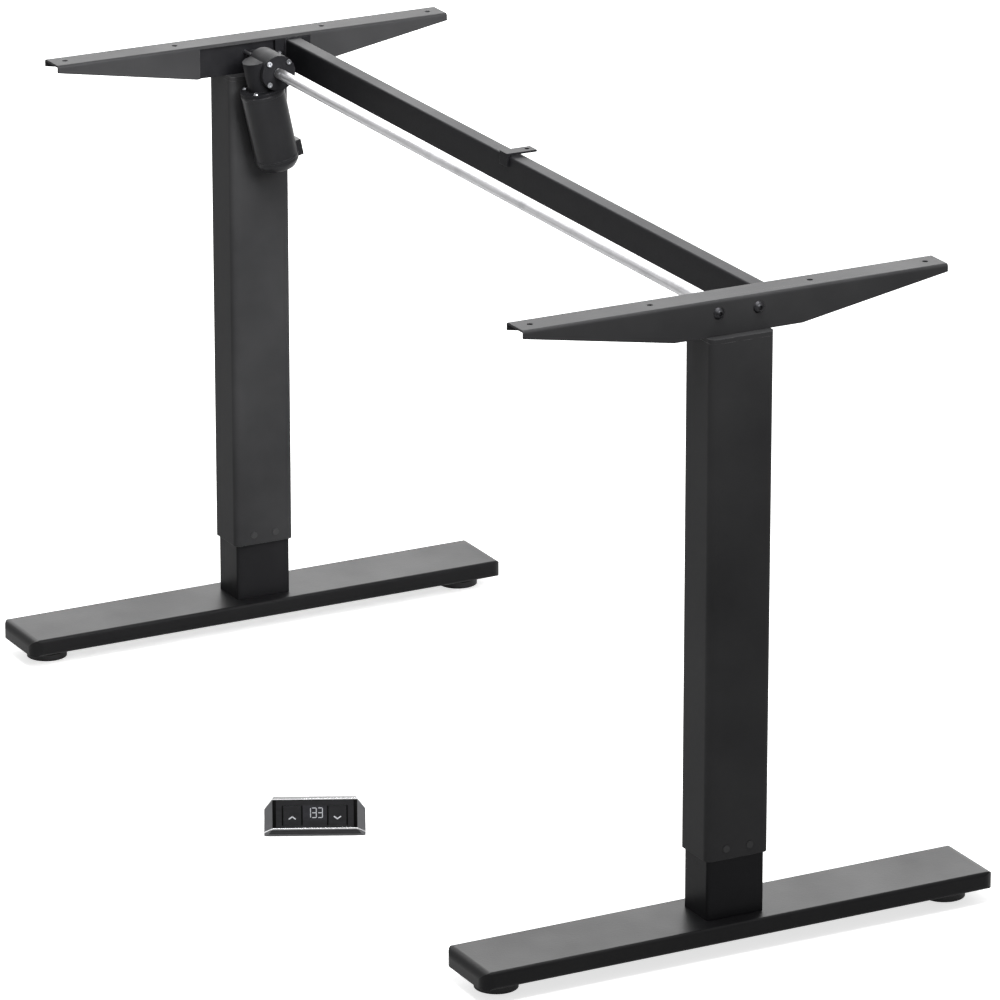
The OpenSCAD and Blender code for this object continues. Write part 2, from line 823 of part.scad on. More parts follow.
// A straight bevel gear on the Z axis. The pitch cone's point is at the origin and the gear lies below it.
module bevel_gear(phase) {
    pitch_len = bevel_r * sqrt(2);
    inner_share = (pitch_len - bevel_face) / pitch_len;
    root_drop = bevel_dedendum / sqrt(2);
    root_r = bevel_r - root_drop;
    root_z = -bevel_r - root_drop;
    difference() {
        union() {
            rotate_extrude()
                polygon([
                    [0, -bevel_back], [root_r, -bevel_back], [root_r, root_z],
                    [root_r * inner_share, root_z * inner_share], [0, root_z * inner_share]
                ]);
            for (i = [0 : bevel_teeth - 1])
                rotate([0, 0, (i + phase) * 360 / bevel_teeth])
                    translate([bevel_r, 0, -bevel_r])
                        rotate([0, -45, 0])
                            linear_extrude(bevel_face, scale = inner_share)
                                rotate(-90)
                                    bevel_tooth();
        }
        children();
    }
}

// End view of a tooth at the large end: the pitch cone is at y = 0 and the tip is above it
module bevel_tooth() {
    tip_share = 0.5;
    foot_share = 1.3;
    sink = bevel_dedendum / 4;
    polygon([
        [-bevel_tooth_t * foot_share / 2, -bevel_dedendum - sink],
        [bevel_tooth_t * foot_share / 2, -bevel_dedendum - sink],
        [bevel_tooth_t / 2, 0], [bevel_tooth_t * tip_share / 2, bevel_addendum],
        [-bevel_tooth_t * tip_share / 2, bevel_addendum], [-bevel_tooth_t / 2, 0]
    ]);
}

module spindle_gear() {
    color("#9fa1a4")
        translate([0, 0, shaft_z])
            bevel_gear(0)
                bar_z(spindle_tip_d + 2 * run_clear, -bevel_back - cut, cut);
}

// The gear on the drive rod, with the hub that runs in the rod's bearing
module rod_gear() {
    color("#9fa1a4")
        translate([0, 0, shaft_z])
            rotate([0, -90, 0]) {
                bevel_gear(0.5)
                    hex_hole(-bevel_back - cut, cut);
                difference() {
                    bar_z(shaft_journal_d, -boss_end, -bevel_back);
                    hex_hole(-boss_end - cut, cut - bevel_back);
                }
            }
}

module hex_hole(z0, z1) {
    translate([0, 0, z0])
        cylinder(d = hex_corner_d + 2 * hex_clear, h = z1 - z0, $fn = 6);
}

module rod_bearing() {
    color("#9fa1a4")
        translate([0, 0, shaft_z])
            difference() {
                bar_x(shaft_bearing_d, rod_bearing_start, rod_bearing_start + shaft_bearing_w);
                bar_x(shaft_journal_d + 2 * run_clear, rod_bearing_start - cut,
                    rod_bearing_start + shaft_bearing_w + cut);
            }
}

module drive_rod() {
    color("#b4b6b8")
        translate([-rod_end, 0, shaft_z])
            rotate([0, 90, 0])
                cylinder(d = hex_corner_d, h = 2 * rod_end, $fn = 6);
}

// The tube that stiffens the rod between the gearbox and the far leg
module rod_sleeve() {
    color("#b4b6b8")
        translate([0, 0, shaft_z])
            difference() {
                bar_x(sleeve_d, sleeve_start, sleeve_end);
                bar_x(hex_corner_d + 2 * run_clear, sleeve_start - cut, sleeve_end + cut);
            }
}

module beam_section(inset) {
    rounded_rect(beam_h - 2 * inset, beam_t - 2 * inset, beam_r - inset);
}

module crossbeam() {
    color("#2d2d30")
        translate([-beam_half, beam_y, beam_mid_z])
            rotate([0, 90, 0])
                difference() {
                    linear_extrude(2 * beam_half)
                        beam_section(0);
                    translate([0, 0, -cut])
                        linear_extrude(2 * (beam_half + cut))
                            beam_section(beam_wall);
                }
}

module beam_end_plate() {
    color("#2d2d30")
        difference() {
            translate([housing_half_w, beam_y - beam_plate_w / 2, beam_mid_z - beam_h / 2])
                cube([beam_plate_t, beam_plate_w, beam_h]);
            at_beam_bolts()
                bar_x(beam_bolt_d + 2 * screw_clear, -beam_plate_t - cut, cut);
        }
}

module beam_bolts() {
    color("#6d6f72")
        at_beam_bolts()
            rotate([0, -90, 0]) {
                bar_z(beam_bolt_d, -beam_bolt_head_h / 4, beam_bolt_len);
                button_head(beam_bolt_head_d, beam_bolt_head_h);
            }
}

module beam_tab() {
    tab_front = beam_y - beam_t / 2 - tab_t;
    tab_back = beam_y + beam_t / 2 + tab_reach;
    color("#3a3b3d")
        difference() {
            union() {
                translate([-tab_w / 2, tab_front, frame_h - tab_t])
                    cube([tab_w, tab_back - tab_front, tab_t]);
                translate([-tab_w / 2, tab_front, frame_h - tab_lip])
                    cube([tab_w, tab_t, tab_lip]);
            }
            translate([0, tab_back - tab_reach / 2, 0])
                bar_z(tab_hole_d, frame_h - tab_t - cut, frame_h + cut);
        }
}

// The motor's own frame on the left leg: origin where the worm passes the wheel, -Z along the motor
module at_motor() {
    translate([motor_offset, worm_end_y, shaft_z + worm_end_z])
        rotate([motor_tilt, 0, 0])
            children();
}

// Places of two screws of the gearbox cover about the drive rod's axis: upper pair 1, lower pair -1
module at_cover_screws(pair) {
    for (side = [-1, 1])
        rotate([side * (90 - pair * 45), 0, 0])
            translate([0, 0, cover_screw_pcd / 2])
                children();
}

module gearbox() {
    color("#1a1a1c")
        difference() {
            union() {
                translate([0, 0, shaft_z]) {
                    bar_x(drum_d, drum_start, drum_end);
                    bar_x(boss_d, boss_end, drum_end);
                }
                at_motor() {
                    bar_z(worm_tube_d, -motor_drop, worm_tube_d / 2);
                    bar_z(motor_d, -motor_drop, -motor_drop + cover_t);
                }
            }
            translate([0, 0, shaft_z]) {
                bar_x(wheel_space_d, motor_offset - wheel_w, drum_end + cut);
                bar_x(drum_d + 2 * slide_clear, drum_end, drum_end + cover_t + motor_d);
                bar_x(shaft_journal_d + 2 * slide_clear, boss_end - cut, drum_end);
                at_cover_screws(-1)
                    bar_x(cover_screw_d + 2 * run_clear, drum_end - 3 * cover_screw_d, drum_end + cut);
                at_cover_screws(1)
                    bar_x(cover_screw_d + 2 * screw_clear, drum_start - cut, drum_end + cut);
            }
            at_motor()
                bar_z(worm_d + 4 * slide_clear, -motor_drop - cut, worm_tube_d / 4);
        }
}

module gearbox_cover() {
    color("#232326")
        translate([0, 0, shaft_z])
            difference() {
                bar_x(drum_d, drum_end, drum_end + cover_t);
                bar_x(shaft_journal_d + 2 * slide_clear, drum_end - cut, drum_end + cover_t + cut);
                for (pair = [-1, 1])
                    at_cover_screws(pair)
                        bar_x(cover_screw_d + 2 * screw_clear, drum_end - cut, drum_end + cover_t + cut);
            }
}

// The lower pair holds the cover. The upper pair is long and also holds the gearbox on the left housing.
module gearbox_screws() {
    color("#c4c6c9")
        translate([0, 0, shaft_z]) {
            at_cover_screws(-1)
                cover_screw(cover_t + 2 * cover_screw_d);
            at_cover_screws(1)
                cover_screw(drum_end + cover_t - long_screw_end);
        }
}

module cover_screw(len) {
    translate([drum_end + cover_t, 0, 0])
        rotate([0, -90, 0])
            socket_screw(cover_screw_d, len, cover_screw_head_d, cover_screw_d / 2);
}

// The worm wheel and the hub that turns in the gearbox
module worm_wheel() {
    tooth_h = wheel_d / wheel_teeth;
    color("#b08d45")
        translate([0, 0, shaft_z])
            difference() {
                union() {
                    bar_x(wheel_d - 2 * tooth_h, motor_offset - wheel_w / 2, motor_offset + wheel_w / 2);
                    bar_x(shaft_journal_d, boss_end + hub_gap, drum_end + cover_t);
                    for (i = [0 : wheel_teeth - 1])
                        rotate([i * 360 / wheel_teeth, 0, 0])
                            translate([motor_offset - wheel_w / 2, -tooth_h / 2, wheel_d / 2 - 2 * tooth_h])
                                cube([wheel_w, tooth_h, 2 * tooth_h - tooth_h / 8]);
                }
                translate([boss_end, 0, 0])
                    rotate([0, 90, 0])
                        hex_hole(0, drum_end + 2 * cover_t);
            }
}

module worm() {
    color("#b9bbbe")
        at_motor()
            bar_z(worm_d, -motor_drop, worm_tube_d / 4 - slide_clear);
}

module motor() {
    motor_r = motor_d / 2;
    crown_share = 1.1;
    centre_share = 0.78;
    color("#151517")
        at_motor()
            translate([0, 0, -motor_drop - motor_len])
                union() {
                    bar_z(motor_d, motor_cap_len, motor_len);
                    intersection() {
                        bar_z(motor_d, 0, motor_cap_len);
                        translate([0, 0, motor_r * centre_share])
                            sphere(motor_r * crown_share);
                    }
                    translate([-motor_plug_w / 2, 0, motor_plug_rise])
                        cube([motor_plug_w, motor_r + motor_plug_proud, motor_plug_h]);
                }
}

// The handset's own frame: X across its front, the sloping front faces -Y, the floor is z = 0
module at_handset() {
    translate([set_place_x, -set_place_y, 0])
        rotate([0, 0, set_turn])
            children();
}

// The sloping frame of the front panel: X across, Z up the slope, Y into the case
module on_slope() {
    rotate([-set_lean, 0, 0])
        children();
}

// Outline of the case in the plane of its front, with chamfered upper corners
module set_outline(inset) {
    half = set_w / 2 - inset;
    polygon([
        [-half, -set_h], [half, -set_h], [half, set_h - set_shoulder_h],
        [half - set_shoulder_w, set_h - inset], [-half + set_shoulder_w, set_h - inset],
        [-half, set_h - set_shoulder_h]
    ]);
}

// A slab along the slope's Y from y0 to y1, of the outline given as a child
module slope_slab(y0, y1) {
    translate([0, y1, 0])
        rotate([90, 0, 0])
            linear_extrude(y1 - y0)
                children();
}

// A plate on the slope: width, height, lower edge and the two depths
module slope_plate(w, h, rise, y0, y1) {
    translate([-w / 2, y0, rise])
        cube([w, y1 - y0, h]);
}

// A plate behind the front panel, set in from the panel's upper and lower edges by the wall
module back_plate(w, y0, y1) {
    slope_plate(w, panel_h - 2 * set_wall, panel_rise + set_wall, y0, y1);
}

module set_solid() {
    lip = panel_t / 4;
    intersection() {
        on_slope() {
            slope_slab(bevel_d, bevel_d + set_d)
                set_outline(0);
            hull() {
                slope_slab(bevel_d, bevel_d + lip)
                    intersection() {
                        set_outline(0);
                        translate([-set_w / 2, 0])
                            square([set_w, set_h]);
                    }
                slope_plate(panel_w, panel_h, panel_rise, 0, lip);
            }
        }
        translate([-set_w, -set_w, 0])
            cube([2 * set_w, 2 * set_w, 2 * set_h]);
    }
}

// The hollow of the case: its wall is the same at the back, the sides and the top
module set_hollow() {
    on_slope()
        slope_slab(bevel_d, bevel_d + set_d - set_wall)
            set_outline(set_wall);
}

// A bright strip under the front panel, running out to the lower corners of the case
module trim_shape() {
    slope_plate(panel_w, trim_h, panel_rise - trim_h, -trim_proud, trim_t);
    for (side = [-1, 1])
        hull() {
            translate([side * (panel_w - trim_h) / 2, 0, 0])
                slope_plate(trim_h, trim_h, panel_rise - trim_h, -trim_proud, trim_t);
            translate([side * (set_w - trim_h) / 2, 0, 0])
                slope_plate(trim_h, trim_h, trim_low, bevel_d - trim_proud, bevel_d + trim_t);
        }
}

module handset_case() {
    color("#55565a")
        at_handset() {
            difference() {
                set_solid();
                translate([-set_w, -set_w, -cut])
                    cube([2 * set_w, 2 * set_w, set_base_t + cut]);
                set_hollow();
                on_slope() {
                    slope_plate(panel_w, panel_h, panel_rise, -cut, panel_t);
                    back_plate(panel_w - 4 * set_wall, 0, bevel_d + cut);
                    slope_plate(socket_w, socket_h, socket_rise, set_d, bevel_d + set_d + cut);
                    trim_shape();
                }
            }
            on_slope()
                for (side = [-1, 1])
                    translate([side * (panel_w / 2 - set_wall), 0, 0])
                        back_plate(2 * set_wall, bevel_d - set_wall, board_y);
            at_set_screws()
                difference() {
                    bar_z(set_post_d, set_base_t, set_post_h);
                    bar_z(set_screw_d + 2 * run_clear, 0, set_screw_head_h + set_screw_len + cut);
                }
        }
}

module at_set_screws() {
    for (side = [-1, 1])
        translate([side * (set_w - set_post_d - set_wall) / 2, bevel_d + set_d / 2, 0])
            children();
}

module at_set_holes() {
    for (end = [-1, 1])
        translate([end * set_hole_x / 2, bevel_d + set_d / 2, 0])
            children();
}

module handset_base() {
    color("#2a2a2c")
        at_handset()
            difference() {
                intersection() {
                    set_solid();
                    translate([-set_w, -set_w, 0])
                        cube([2 * set_w, 2 * set_w, set_base_t]);
                }
                at_set_holes()
                    bar_z(set_hole_d, -cut, set_base_t + cut);
                at_set_screws() {
                    bar_z(set_screw_d + 2 * screw_clear, -cut, set_base_t + cut);
                    bar_z(set_screw_head_d + 2 * screw_clear, -cut, set_screw_head_h);
                }
            }
}

module at_button(side) {
    translate([side * button_x, 0, 0])
        children();
}

module handset_panel() {
    color("#0e0e10")
        at_handset()
            on_slope()
                difference() {
                    slope_plate(panel_w, panel_h, panel_rise, 0, panel_t);
                    for (side = [-1, 1])
                        at_button(side)
                            slope_plate(button_w + 2 * slide_clear, button_h + 2 * slide_clear,
                                panel_rise + button_rise - slide_clear, -cut, panel_t + cut);
                    slope_plate(window_w, window_h, panel_rise + window_rise, -cut, panel_t + cut);
                }
}

module handset_window() {
    color("#1b1c20")
        at_handset()
            on_slope()
                slope_plate(window_w, window_h, panel_rise + window_rise, 0, panel_t);
}

module handset_trim() {
    color("#d8dadc")
        at_handset()
            on_slope()
                trim_shape();
}

module button_piece() {
    color("#141416")
        on_slope() {
            slope_plate(button_w, button_h, panel_rise + button_rise, 0, button_t);
            translate([0, 0, button_mid])
                rotate([-90, 0, 0])
                    bar_z(button_stem_d, button_t / 2, switch_y - button_travel - slide_clear);
        }
}

module handset_board() {
    color("#2f5b3a")
        at_handset()
            on_slope() {
                back_plate(board_w, board_y, board_y + board_t);
                for (side = [-1, 1])
                    at_button(side)
                        slope_plate(switch_w, switch_w, button_mid - switch_w / 2, switch_y, board_y);
                slope_plate(socket_w - 2 * slide_clear, socket_h - 2 * slide_clear,
                    socket_rise + slide_clear, board_y, bevel_d + set_d);
            }
}

module handset_screws() {
    color("#8b8d90")
        at_handset()
            at_set_screws() {
                bar_z(set_screw_d, 0, set_screw_head_h + set_screw_len);
                bar_z(set_screw_head_d, 0, set_screw_head_h);
            }
}

at_leg(-1) foot();  // left_foot
at_leg(-1) foot_plate();  // left_foot_plate
at_leg(-1) foot_bolts();  // left_foot_bolts
at_leg(-1) inner_tube();  // left_inner_tube
at_leg(-1) column_base();  // left_column_base
at_leg(-1) slide_shoe();  // left_slide_shoe
at_leg(-1) nut_carrier();  // left_nut_carrier
at_leg(-1) spindle_nut();  // left_spindle_nut
at_leg(-1) outer_tube();  // left_outer_tube
at_leg(-1) guide_collar();  // left_guide_collar
at_leg(-1) head_plate();  // left_head_plate
at_leg(-1) gear_housing(true);  // left_gear_housing
at_leg(-1) bracket();  // left_bracket
at_leg(-1) spindle();  // left_spindle
at_leg(-1) spindle_gear();  // left_spindle_gear
at_leg(-1) glide(-1);  // left_front_glide
at_leg(-1) glide(1);  // left_back_glide
at_leg(1) foot();  // right_foot
at_leg(1) foot_plate();  // right_foot_plate
at_leg(1) foot_bolts();  // right_foot_bolts
at_leg(1) inner_tube();  // right_inner_tube
at_leg(1) column_base();  // right_column_base
at_leg(1) slide_shoe();  // right_slide_shoe
at_leg(1) nut_carrier();  // right_nut_carrier
at_leg(1) spindle_nut();  // right_spindle_nut
at_leg(1) outer_tube();  // right_outer_tube
at_leg(1) guide_collar();  // right_guide_collar
at_leg(1) head_plate();  // right_head_plate
at_leg(1) gear_housing(false);  // right_gear_housing
at_leg(1) bracket();  // right_bracket
at_leg(1) spindle();  // right_spindle
at_leg(1) spindle_gear();  // right_spindle_gear
at_leg(1) glide(-1);  // right_front_glide
at_leg(1) glide(1);  // right_back_glide
at_both_legs() guide_pins();
at_both_legs() housing_bolts();
at_both_legs() bracket_bolts();
at_both_legs() spindle_bearing();  // spindle_bearings
crossbeam();
at_both_legs() beam_end_plate();  // beam_end_plates
at_both_legs() beam_bolts();
beam_tab();
drive_rod();
rod_sleeve();
at_both_legs() rod_gear();  // rod_gears
at_both_legs() rod_bearing();  // rod_bearings
at_leg(-1) gearbox();
at_leg(-1) gearbox_cover();
at_leg(-1) gearbox_screws();
at_leg(-1) worm_wheel();
at_leg(-1) worm();
at_leg(-1) motor();
handset_case();
handset_base();
handset_panel();
handset_trim();
handset_window();
handset_board();
handset_screws();
at_handset() at_button(-1) button_piece();  // up_button
at_handset() at_button(1) button_piece();  // down_button
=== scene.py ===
"""Looks of a standing desk frame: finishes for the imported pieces, and the small details that sit on them.

Metres, +Z up. X runs from the motor leg to the other leg, Y along the feet towards the crossbeam.
"""

import json
import math

import bpy
from mathutils import Matrix, Vector


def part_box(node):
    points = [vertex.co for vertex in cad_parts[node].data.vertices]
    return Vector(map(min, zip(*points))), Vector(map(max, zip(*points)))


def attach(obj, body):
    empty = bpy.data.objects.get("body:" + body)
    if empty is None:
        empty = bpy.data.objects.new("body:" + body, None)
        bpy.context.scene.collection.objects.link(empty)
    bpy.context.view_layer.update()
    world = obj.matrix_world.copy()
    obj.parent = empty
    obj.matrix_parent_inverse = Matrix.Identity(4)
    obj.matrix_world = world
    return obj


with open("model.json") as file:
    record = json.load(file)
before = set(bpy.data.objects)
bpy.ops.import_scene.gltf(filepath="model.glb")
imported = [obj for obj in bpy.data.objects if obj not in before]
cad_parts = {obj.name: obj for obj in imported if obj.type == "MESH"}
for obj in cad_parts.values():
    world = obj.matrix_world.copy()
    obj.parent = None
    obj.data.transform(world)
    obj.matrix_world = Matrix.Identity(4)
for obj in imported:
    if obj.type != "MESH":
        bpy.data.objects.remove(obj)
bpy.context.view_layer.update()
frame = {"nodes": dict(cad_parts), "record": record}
nodes = frame["nodes"]

MM = 0.001


# Working with one piece at a time


def box_in(place, name):
    """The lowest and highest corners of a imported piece, measured in a frame of its own."""
    piece = nodes[name]
    inwards = place.inverted() @ piece.matrix_world
    points = [inwards @ vertex.co for vertex in piece.data.vertices]
    low = Vector([min(point[axis] for point in points) for axis in range(3)])
    high = Vector([max(point[axis] for point in points) for axis in range(3)])
    return low, high


def start_piece():
    """Object mode with nothing selected, ready for a new primitive."""
    if bpy.context.object and bpy.context.object.mode != "OBJECT":
        bpy.ops.object.mode_set(mode="OBJECT")
    bpy.ops.object.select_all(action="DESELECT")


def select_only(piece):
    """Object mode, with this piece alone selected and active."""
    start_piece()
    piece.select_set(True)
    bpy.context.view_layer.objects.active = piece


def pick_faces(piece, wanted):
    """Edit mode with only the faces that pass the test selected."""
    select_only(piece)
    for vertex in piece.data.vertices:
        vertex.select = False
    for edge in piece.data.edges:
        edge.select = False
    for face in piece.data.polygons:
        face.select = wanted(face)
    bpy.ops.object.mode_set(mode="EDIT")
    bpy.ops.mesh.select_mode(type="FACE")


def pick_vertices(piece, wanted):
    """Edit mode with only the vertices that pass the test selected."""
    select_only(piece)
    chosen = [wanted(vertex) for vertex in piece.data.vertices]
    for vertex, pick in zip(piece.data.vertices, chosen):
        vertex.select = pick
    for edge in piece.data.edges:
        edge.select = all(chosen[corner] for corner in edge.vertices)
    for face in piece.data.polygons:
        face.select = all(chosen[corner] for corner in face.vertices)
    bpy.ops.object.mode_set(mode="EDIT")
    bpy.ops.mesh.select_mode(type="VERT")


def apply_scale(piece):
    """Makes the piece's scale part of its mesh."""
    select_only(piece)
    bpy.ops.object.transform_apply(location=False, rotation=False, scale=True)


def apply_modifier(piece, kind, **settings):
    """Adds a modifier with these settings and applies it."""
    select_only(piece)
    modifier = piece.modifiers.new(kind.title(), kind)
    for key, value in settings.items():
        setattr(modifier, key, value)
    bpy.ops.object.modifier_apply(modifier=modifier.name)


def soften(piece, width, segments=2):
    """Rounds the sharp edges of a piece."""
    sharp = math.radians(30)
    apply_modifier(piece, "BEVEL", width=width, segments=segments, limit_method="ANGLE", angle_limit=sharp)


def copy_piece(piece):
    """A copy of a piece, with a mesh of its own."""
    select_only(piece)
    bpy.ops.object.duplicate(linked=False)
    return bpy.context.object


def join_pieces(pieces):
    """Makes one piece of several."""
    select_only(pieces[0])
    for piece in pieces:
        piece.select_set(True)
    bpy.ops.object.join()
    return bpy.context.object


def repeat_piece(piece, places):
    """The piece at each of the places, with copies for all but the first, as one piece."""
    pieces = [piece] + [copy_piece(piece) for place in places[1:]]
    for one, place in zip(pieces, places):
        one.matrix_world = place
    return join_pieces(pieces)


def settle(piece, name, body, finish, place=None):
    """Places a finished piece, applies its transforms, and gives it its name, finish and body."""
    select_only(piece)
    if place is not None:
        piece.matrix_world = place @ piece.matrix_world
    bpy.ops.object.transform_apply(location=True, rotation=True, scale=True)
    bpy.ops.object.mode_set(mode="EDIT")
    bpy.ops.mesh.select_all(action="SELECT")
    bpy.ops.mesh.normals_make_consistent(inside=False)
    bpy.ops.object.mode_set(mode="OBJECT")
    bpy.ops.object.shade_smooth_by_angle(angle=math.radians(35))
    piece.name = name
    piece.data.name = name
    piece.data.materials.clear()
    piece.data.materials.append(finish)
    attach(piece, body)


# Nodes that the finishes are made of


def add_node(tree, kind, **settings):
    """A new node with these settings."""
    node = tree.nodes.new(kind)
    for key, value in settings.items():
        setattr(node, key, value)
    return node


def new_finish(name, metallic=0.0, specular=0.5, coat=0.0, coat_roughness=0.1):
    """A material with its shader, whose even values are set on the shader itself."""
    finish = bpy.data.materials.new(name)
    finish.use_nodes = True
    tree = finish.node_tree
    shader = tree.nodes["Principled BSDF"]
    shader.inputs["Metallic"].default_value = metallic
    shader.inputs["Specular IOR Level"].default_value = specular
    shader.inputs["Coat Weight"].default_value = coat
    shader.inputs["Coat Roughness"].default_value = coat_roughness
    return finish, tree, shader


def place_on(tree, stretch=(1.0, 1.0, 1.0)):
    """The piece's own coordinates, stretched along its grain."""
    where = add_node(tree, "ShaderNodeTexCoord")
    mapping = add_node(tree, "ShaderNodeMapping")
    mapping.inputs["Scale"].default_value = stretch
    tree.links.new(where.outputs["Object"], mapping.inputs["Vector"])
    return mapping.outputs["Vector"]


def cloud(tree, place, scale, detail=3.0, roughness=0.55):
    """Soft random variation from 0 to 1."""
    noise = add_node(tree, "ShaderNodeTexNoise")
    noise.inputs["Scale"].default_value = scale
    noise.inputs["Detail"].default_value = detail
    noise.inputs["Roughness"].default_value = roughness
    tree.links.new(place, noise.inputs["Vector"])
    return noise.outputs["Fac"]


def between(tree, value, low=0.0, high=1.0, start=0.3, stop=0.7):
    """Takes a variation from start and stop to low and high."""
    spread = add_node(tree, "ShaderNodeMapRange")
    spread.inputs["From Min"].default_value = start
    spread.inputs["From Max"].default_value = stop
    spread.inputs["To Min"].default_value = low
    spread.inputs["To Max"].default_value = high
    tree.links.new(value, spread.inputs["Value"])
    return spread.outputs["Result"]


def blend_colours(tree, value, first, second):
    """Goes from the first colour to the second. Either may be a colour or an output."""
    mix = add_node(tree, "ShaderNodeMix", data_type="RGBA")
    tree.links.new(value, mix.inputs["Factor"])
    for colour, socket in ((first, mix.inputs["A"]), (second, mix.inputs["B"])):
        if isinstance(colour, tuple):
            socket.default_value = (*colour, 1.0)
        else:
            tree.links.new(colour, socket)
    return mix.outputs["Result"]


def combine(tree, operation, *values):
    """One arithmetic step on values, each of which may be a number or an output."""
    step = add_node(tree, "ShaderNodeMath", operation=operation)
    for value, socket in zip(values, step.inputs):
        if isinstance(value, float):
            socket.default_value = value
        else:
            tree.links.new(value, socket)
    return step.outputs["Value"]


def colour_and_roughness(tree, shader, colour, roughness):
    """Links the two outputs that every finish varies."""
    tree.links.new(colour, shader.inputs["Base Color"])
    tree.links.new(roughness, shader.inputs["Roughness"])


def rubbed_edges(tree, radius, patchy):
    """A mask that is 1 where an outer edge is rubbed and 0 on the flats."""
    rounded = add_node(tree, "ShaderNodeBevel", samples=4)
    rounded.inputs["Radius"].default_value = radius
    shape = add_node(tree, "ShaderNodeNewGeometry")
    turn = add_node(tree, "ShaderNodeVectorMath", operation="DOT_PRODUCT")
    tree.links.new(rounded.outputs["Normal"], turn.inputs[0])
    tree.links.new(shape.outputs["True Normal"], turn.inputs[1])
    edge = between(tree, turn.outputs["Value"], low=1.0, high=0.0, start=0.86, stop=0.98)
    return combine(tree, "MULTIPLY", edge, patchy)


def emboss(tree, shader, height, strength, depth, corner_radius=0.0):
    """Raises a fine relief on the surface, over corners that catch the light as rounded ones do."""
    bump = add_node(tree, "ShaderNodeBump")
    bump.inputs["Strength"].default_value = strength
    bump.inputs["Distance"].default_value = depth
    tree.links.new(height, bump.inputs["Height"])
    if corner_radius:
        corner = add_node(tree, "ShaderNodeBevel", samples=4)
        corner.inputs["Radius"].default_value = corner_radius
        tree.links.new(corner.outputs["Normal"], bump.inputs["Normal"])
    tree.links.new(bump.outputs["Normal"], shader.inputs["Normal"])


# Kinds of finish


def powder_coat(name, dark, light, specular, rough=(0.36, 0.46)):
    """Black powder coat: fine pebbles over lower waves, slow clouding, and corners rubbed a little paler."""
    finish, tree, shader = new_finish(name, specular=specular)
    place = place_on(tree)
    clouding = cloud(tree, place, scale=7.0, detail=4.0)
    pebbles = cloud(tree, place, scale=900.0, detail=2.0)
    waves = cloud(tree, place, scale=260.0, detail=1.0)
    wave_strength = 1.6
    skin = combine(tree, "MULTIPLY_ADD", waves, wave_strength, pebbles)
    patches = between(tree, cloud(tree, place, scale=60.0), high=0.6, start=0.42, stop=0.62)
    worn = rubbed_edges(tree, radius=0.7 * MM, patchy=patches)
    body = blend_colours(tree, between(tree, clouding), dark, light)
    rubbed = tuple(4.0 * value + 0.02 for value in light)
    colour = blend_colours(tree, worn, body, rubbed)
    colour_and_roughness(tree, shader, colour, between(tree, clouding, *rough))
    emboss(tree, shader, skin, strength=0.2, depth=0.16 * MM, corner_radius=0.8 * MM)
    return finish


def bare_metal(name, dark, light, rough, stretch=(1.0, 1.0, 1.0), lines=500.0):
    """Bare metal with fine marks drawn out along one direction, and a faint dull film in patches."""
    finish, tree, shader = new_finish(name, metallic=1.0)
    marks = cloud(tree, place_on(tree, stretch), scale=lines, detail=4.0)
    film = cloud(tree, place_on(tree), scale=35.0)
    streaks = blend_colours(tree, between(tree, marks), dark, light)
    dull = tuple(0.62 * value for value in dark)
    patches = between(tree, film, high=0.5, start=0.5, stop=0.75)
    colour = blend_colours(tree, patches, streaks, dull)
    colour_and_roughness(tree, shader, colour, between(tree, marks, *rough))
    emboss(tree, shader, marks, strength=0.1, depth=0.05 * MM, corner_radius=0.3 * MM)
    return finish


def moulded_plastic(name, dark, light, rough=(0.42, 0.55), grain=1300.0, specular=0.4):
    """Moulded plastic with a fine spark-eroded grain and a slight bloom."""
    finish, tree, shader = new_finish(name, specular=specular)
    place = place_on(tree)
    bloom = cloud(tree, place, scale=22.0)
    skin = cloud(tree, place, scale=grain, detail=1.0)
    colour = blend_colours(tree, between(tree, bloom), dark, light)
    colour_and_roughness(tree, shader, colour, between(tree, bloom, *rough))
    emboss(tree, shader, skin, strength=0.22, depth=0.08 * MM, corner_radius=0.4 * MM)
    return finish


def gloss_acrylic(name, dark, light, coat):
    """Polished acrylic with faint fingertip smears."""
    finish, tree, shader = new_finish(name, specular=0.15, coat=coat, coat_roughness=0.04)
    smear = cloud(tree, place_on(tree, (1.0, 1.0, 3.0)), scale=70.0, detail=4.0)
    ripple = cloud(tree, place_on(tree), scale=120.0)
    colour = blend_colours(tree, between(tree, smear), dark, light)
    roughness = between(tree, smear, low=0.08, high=0.22, start=0.45, stop=0.8)
    colour_and_roughness(tree, shader, colour, roughness)
    emboss(tree, shader, ripple, strength=0.02, depth=0.05 * MM, corner_radius=0.3 * MM)
    return finish


def chrome_plate(name, dark, light):
    """Bright chrome with hairline marks and a breath of haze."""
    finish, tree, shader = new_finish(name, metallic=1.0)
    hairlines = cloud(tree, place_on(tree, (1.0, 1.0, 12.0)), scale=400.0, detail=2.0)
    haze = cloud(tree, place_on(tree), scale=90.0)
    colour = blend_colours(tree, between(tree, haze), dark, light)
    colour_and_roughness(tree, shader, colour, between(tree, haze, low=0.06, high=0.16))
    emboss(tree, shader, hairlines, strength=0.03, depth=0.02 * MM, corner_radius=0.3 * MM)
    return finish


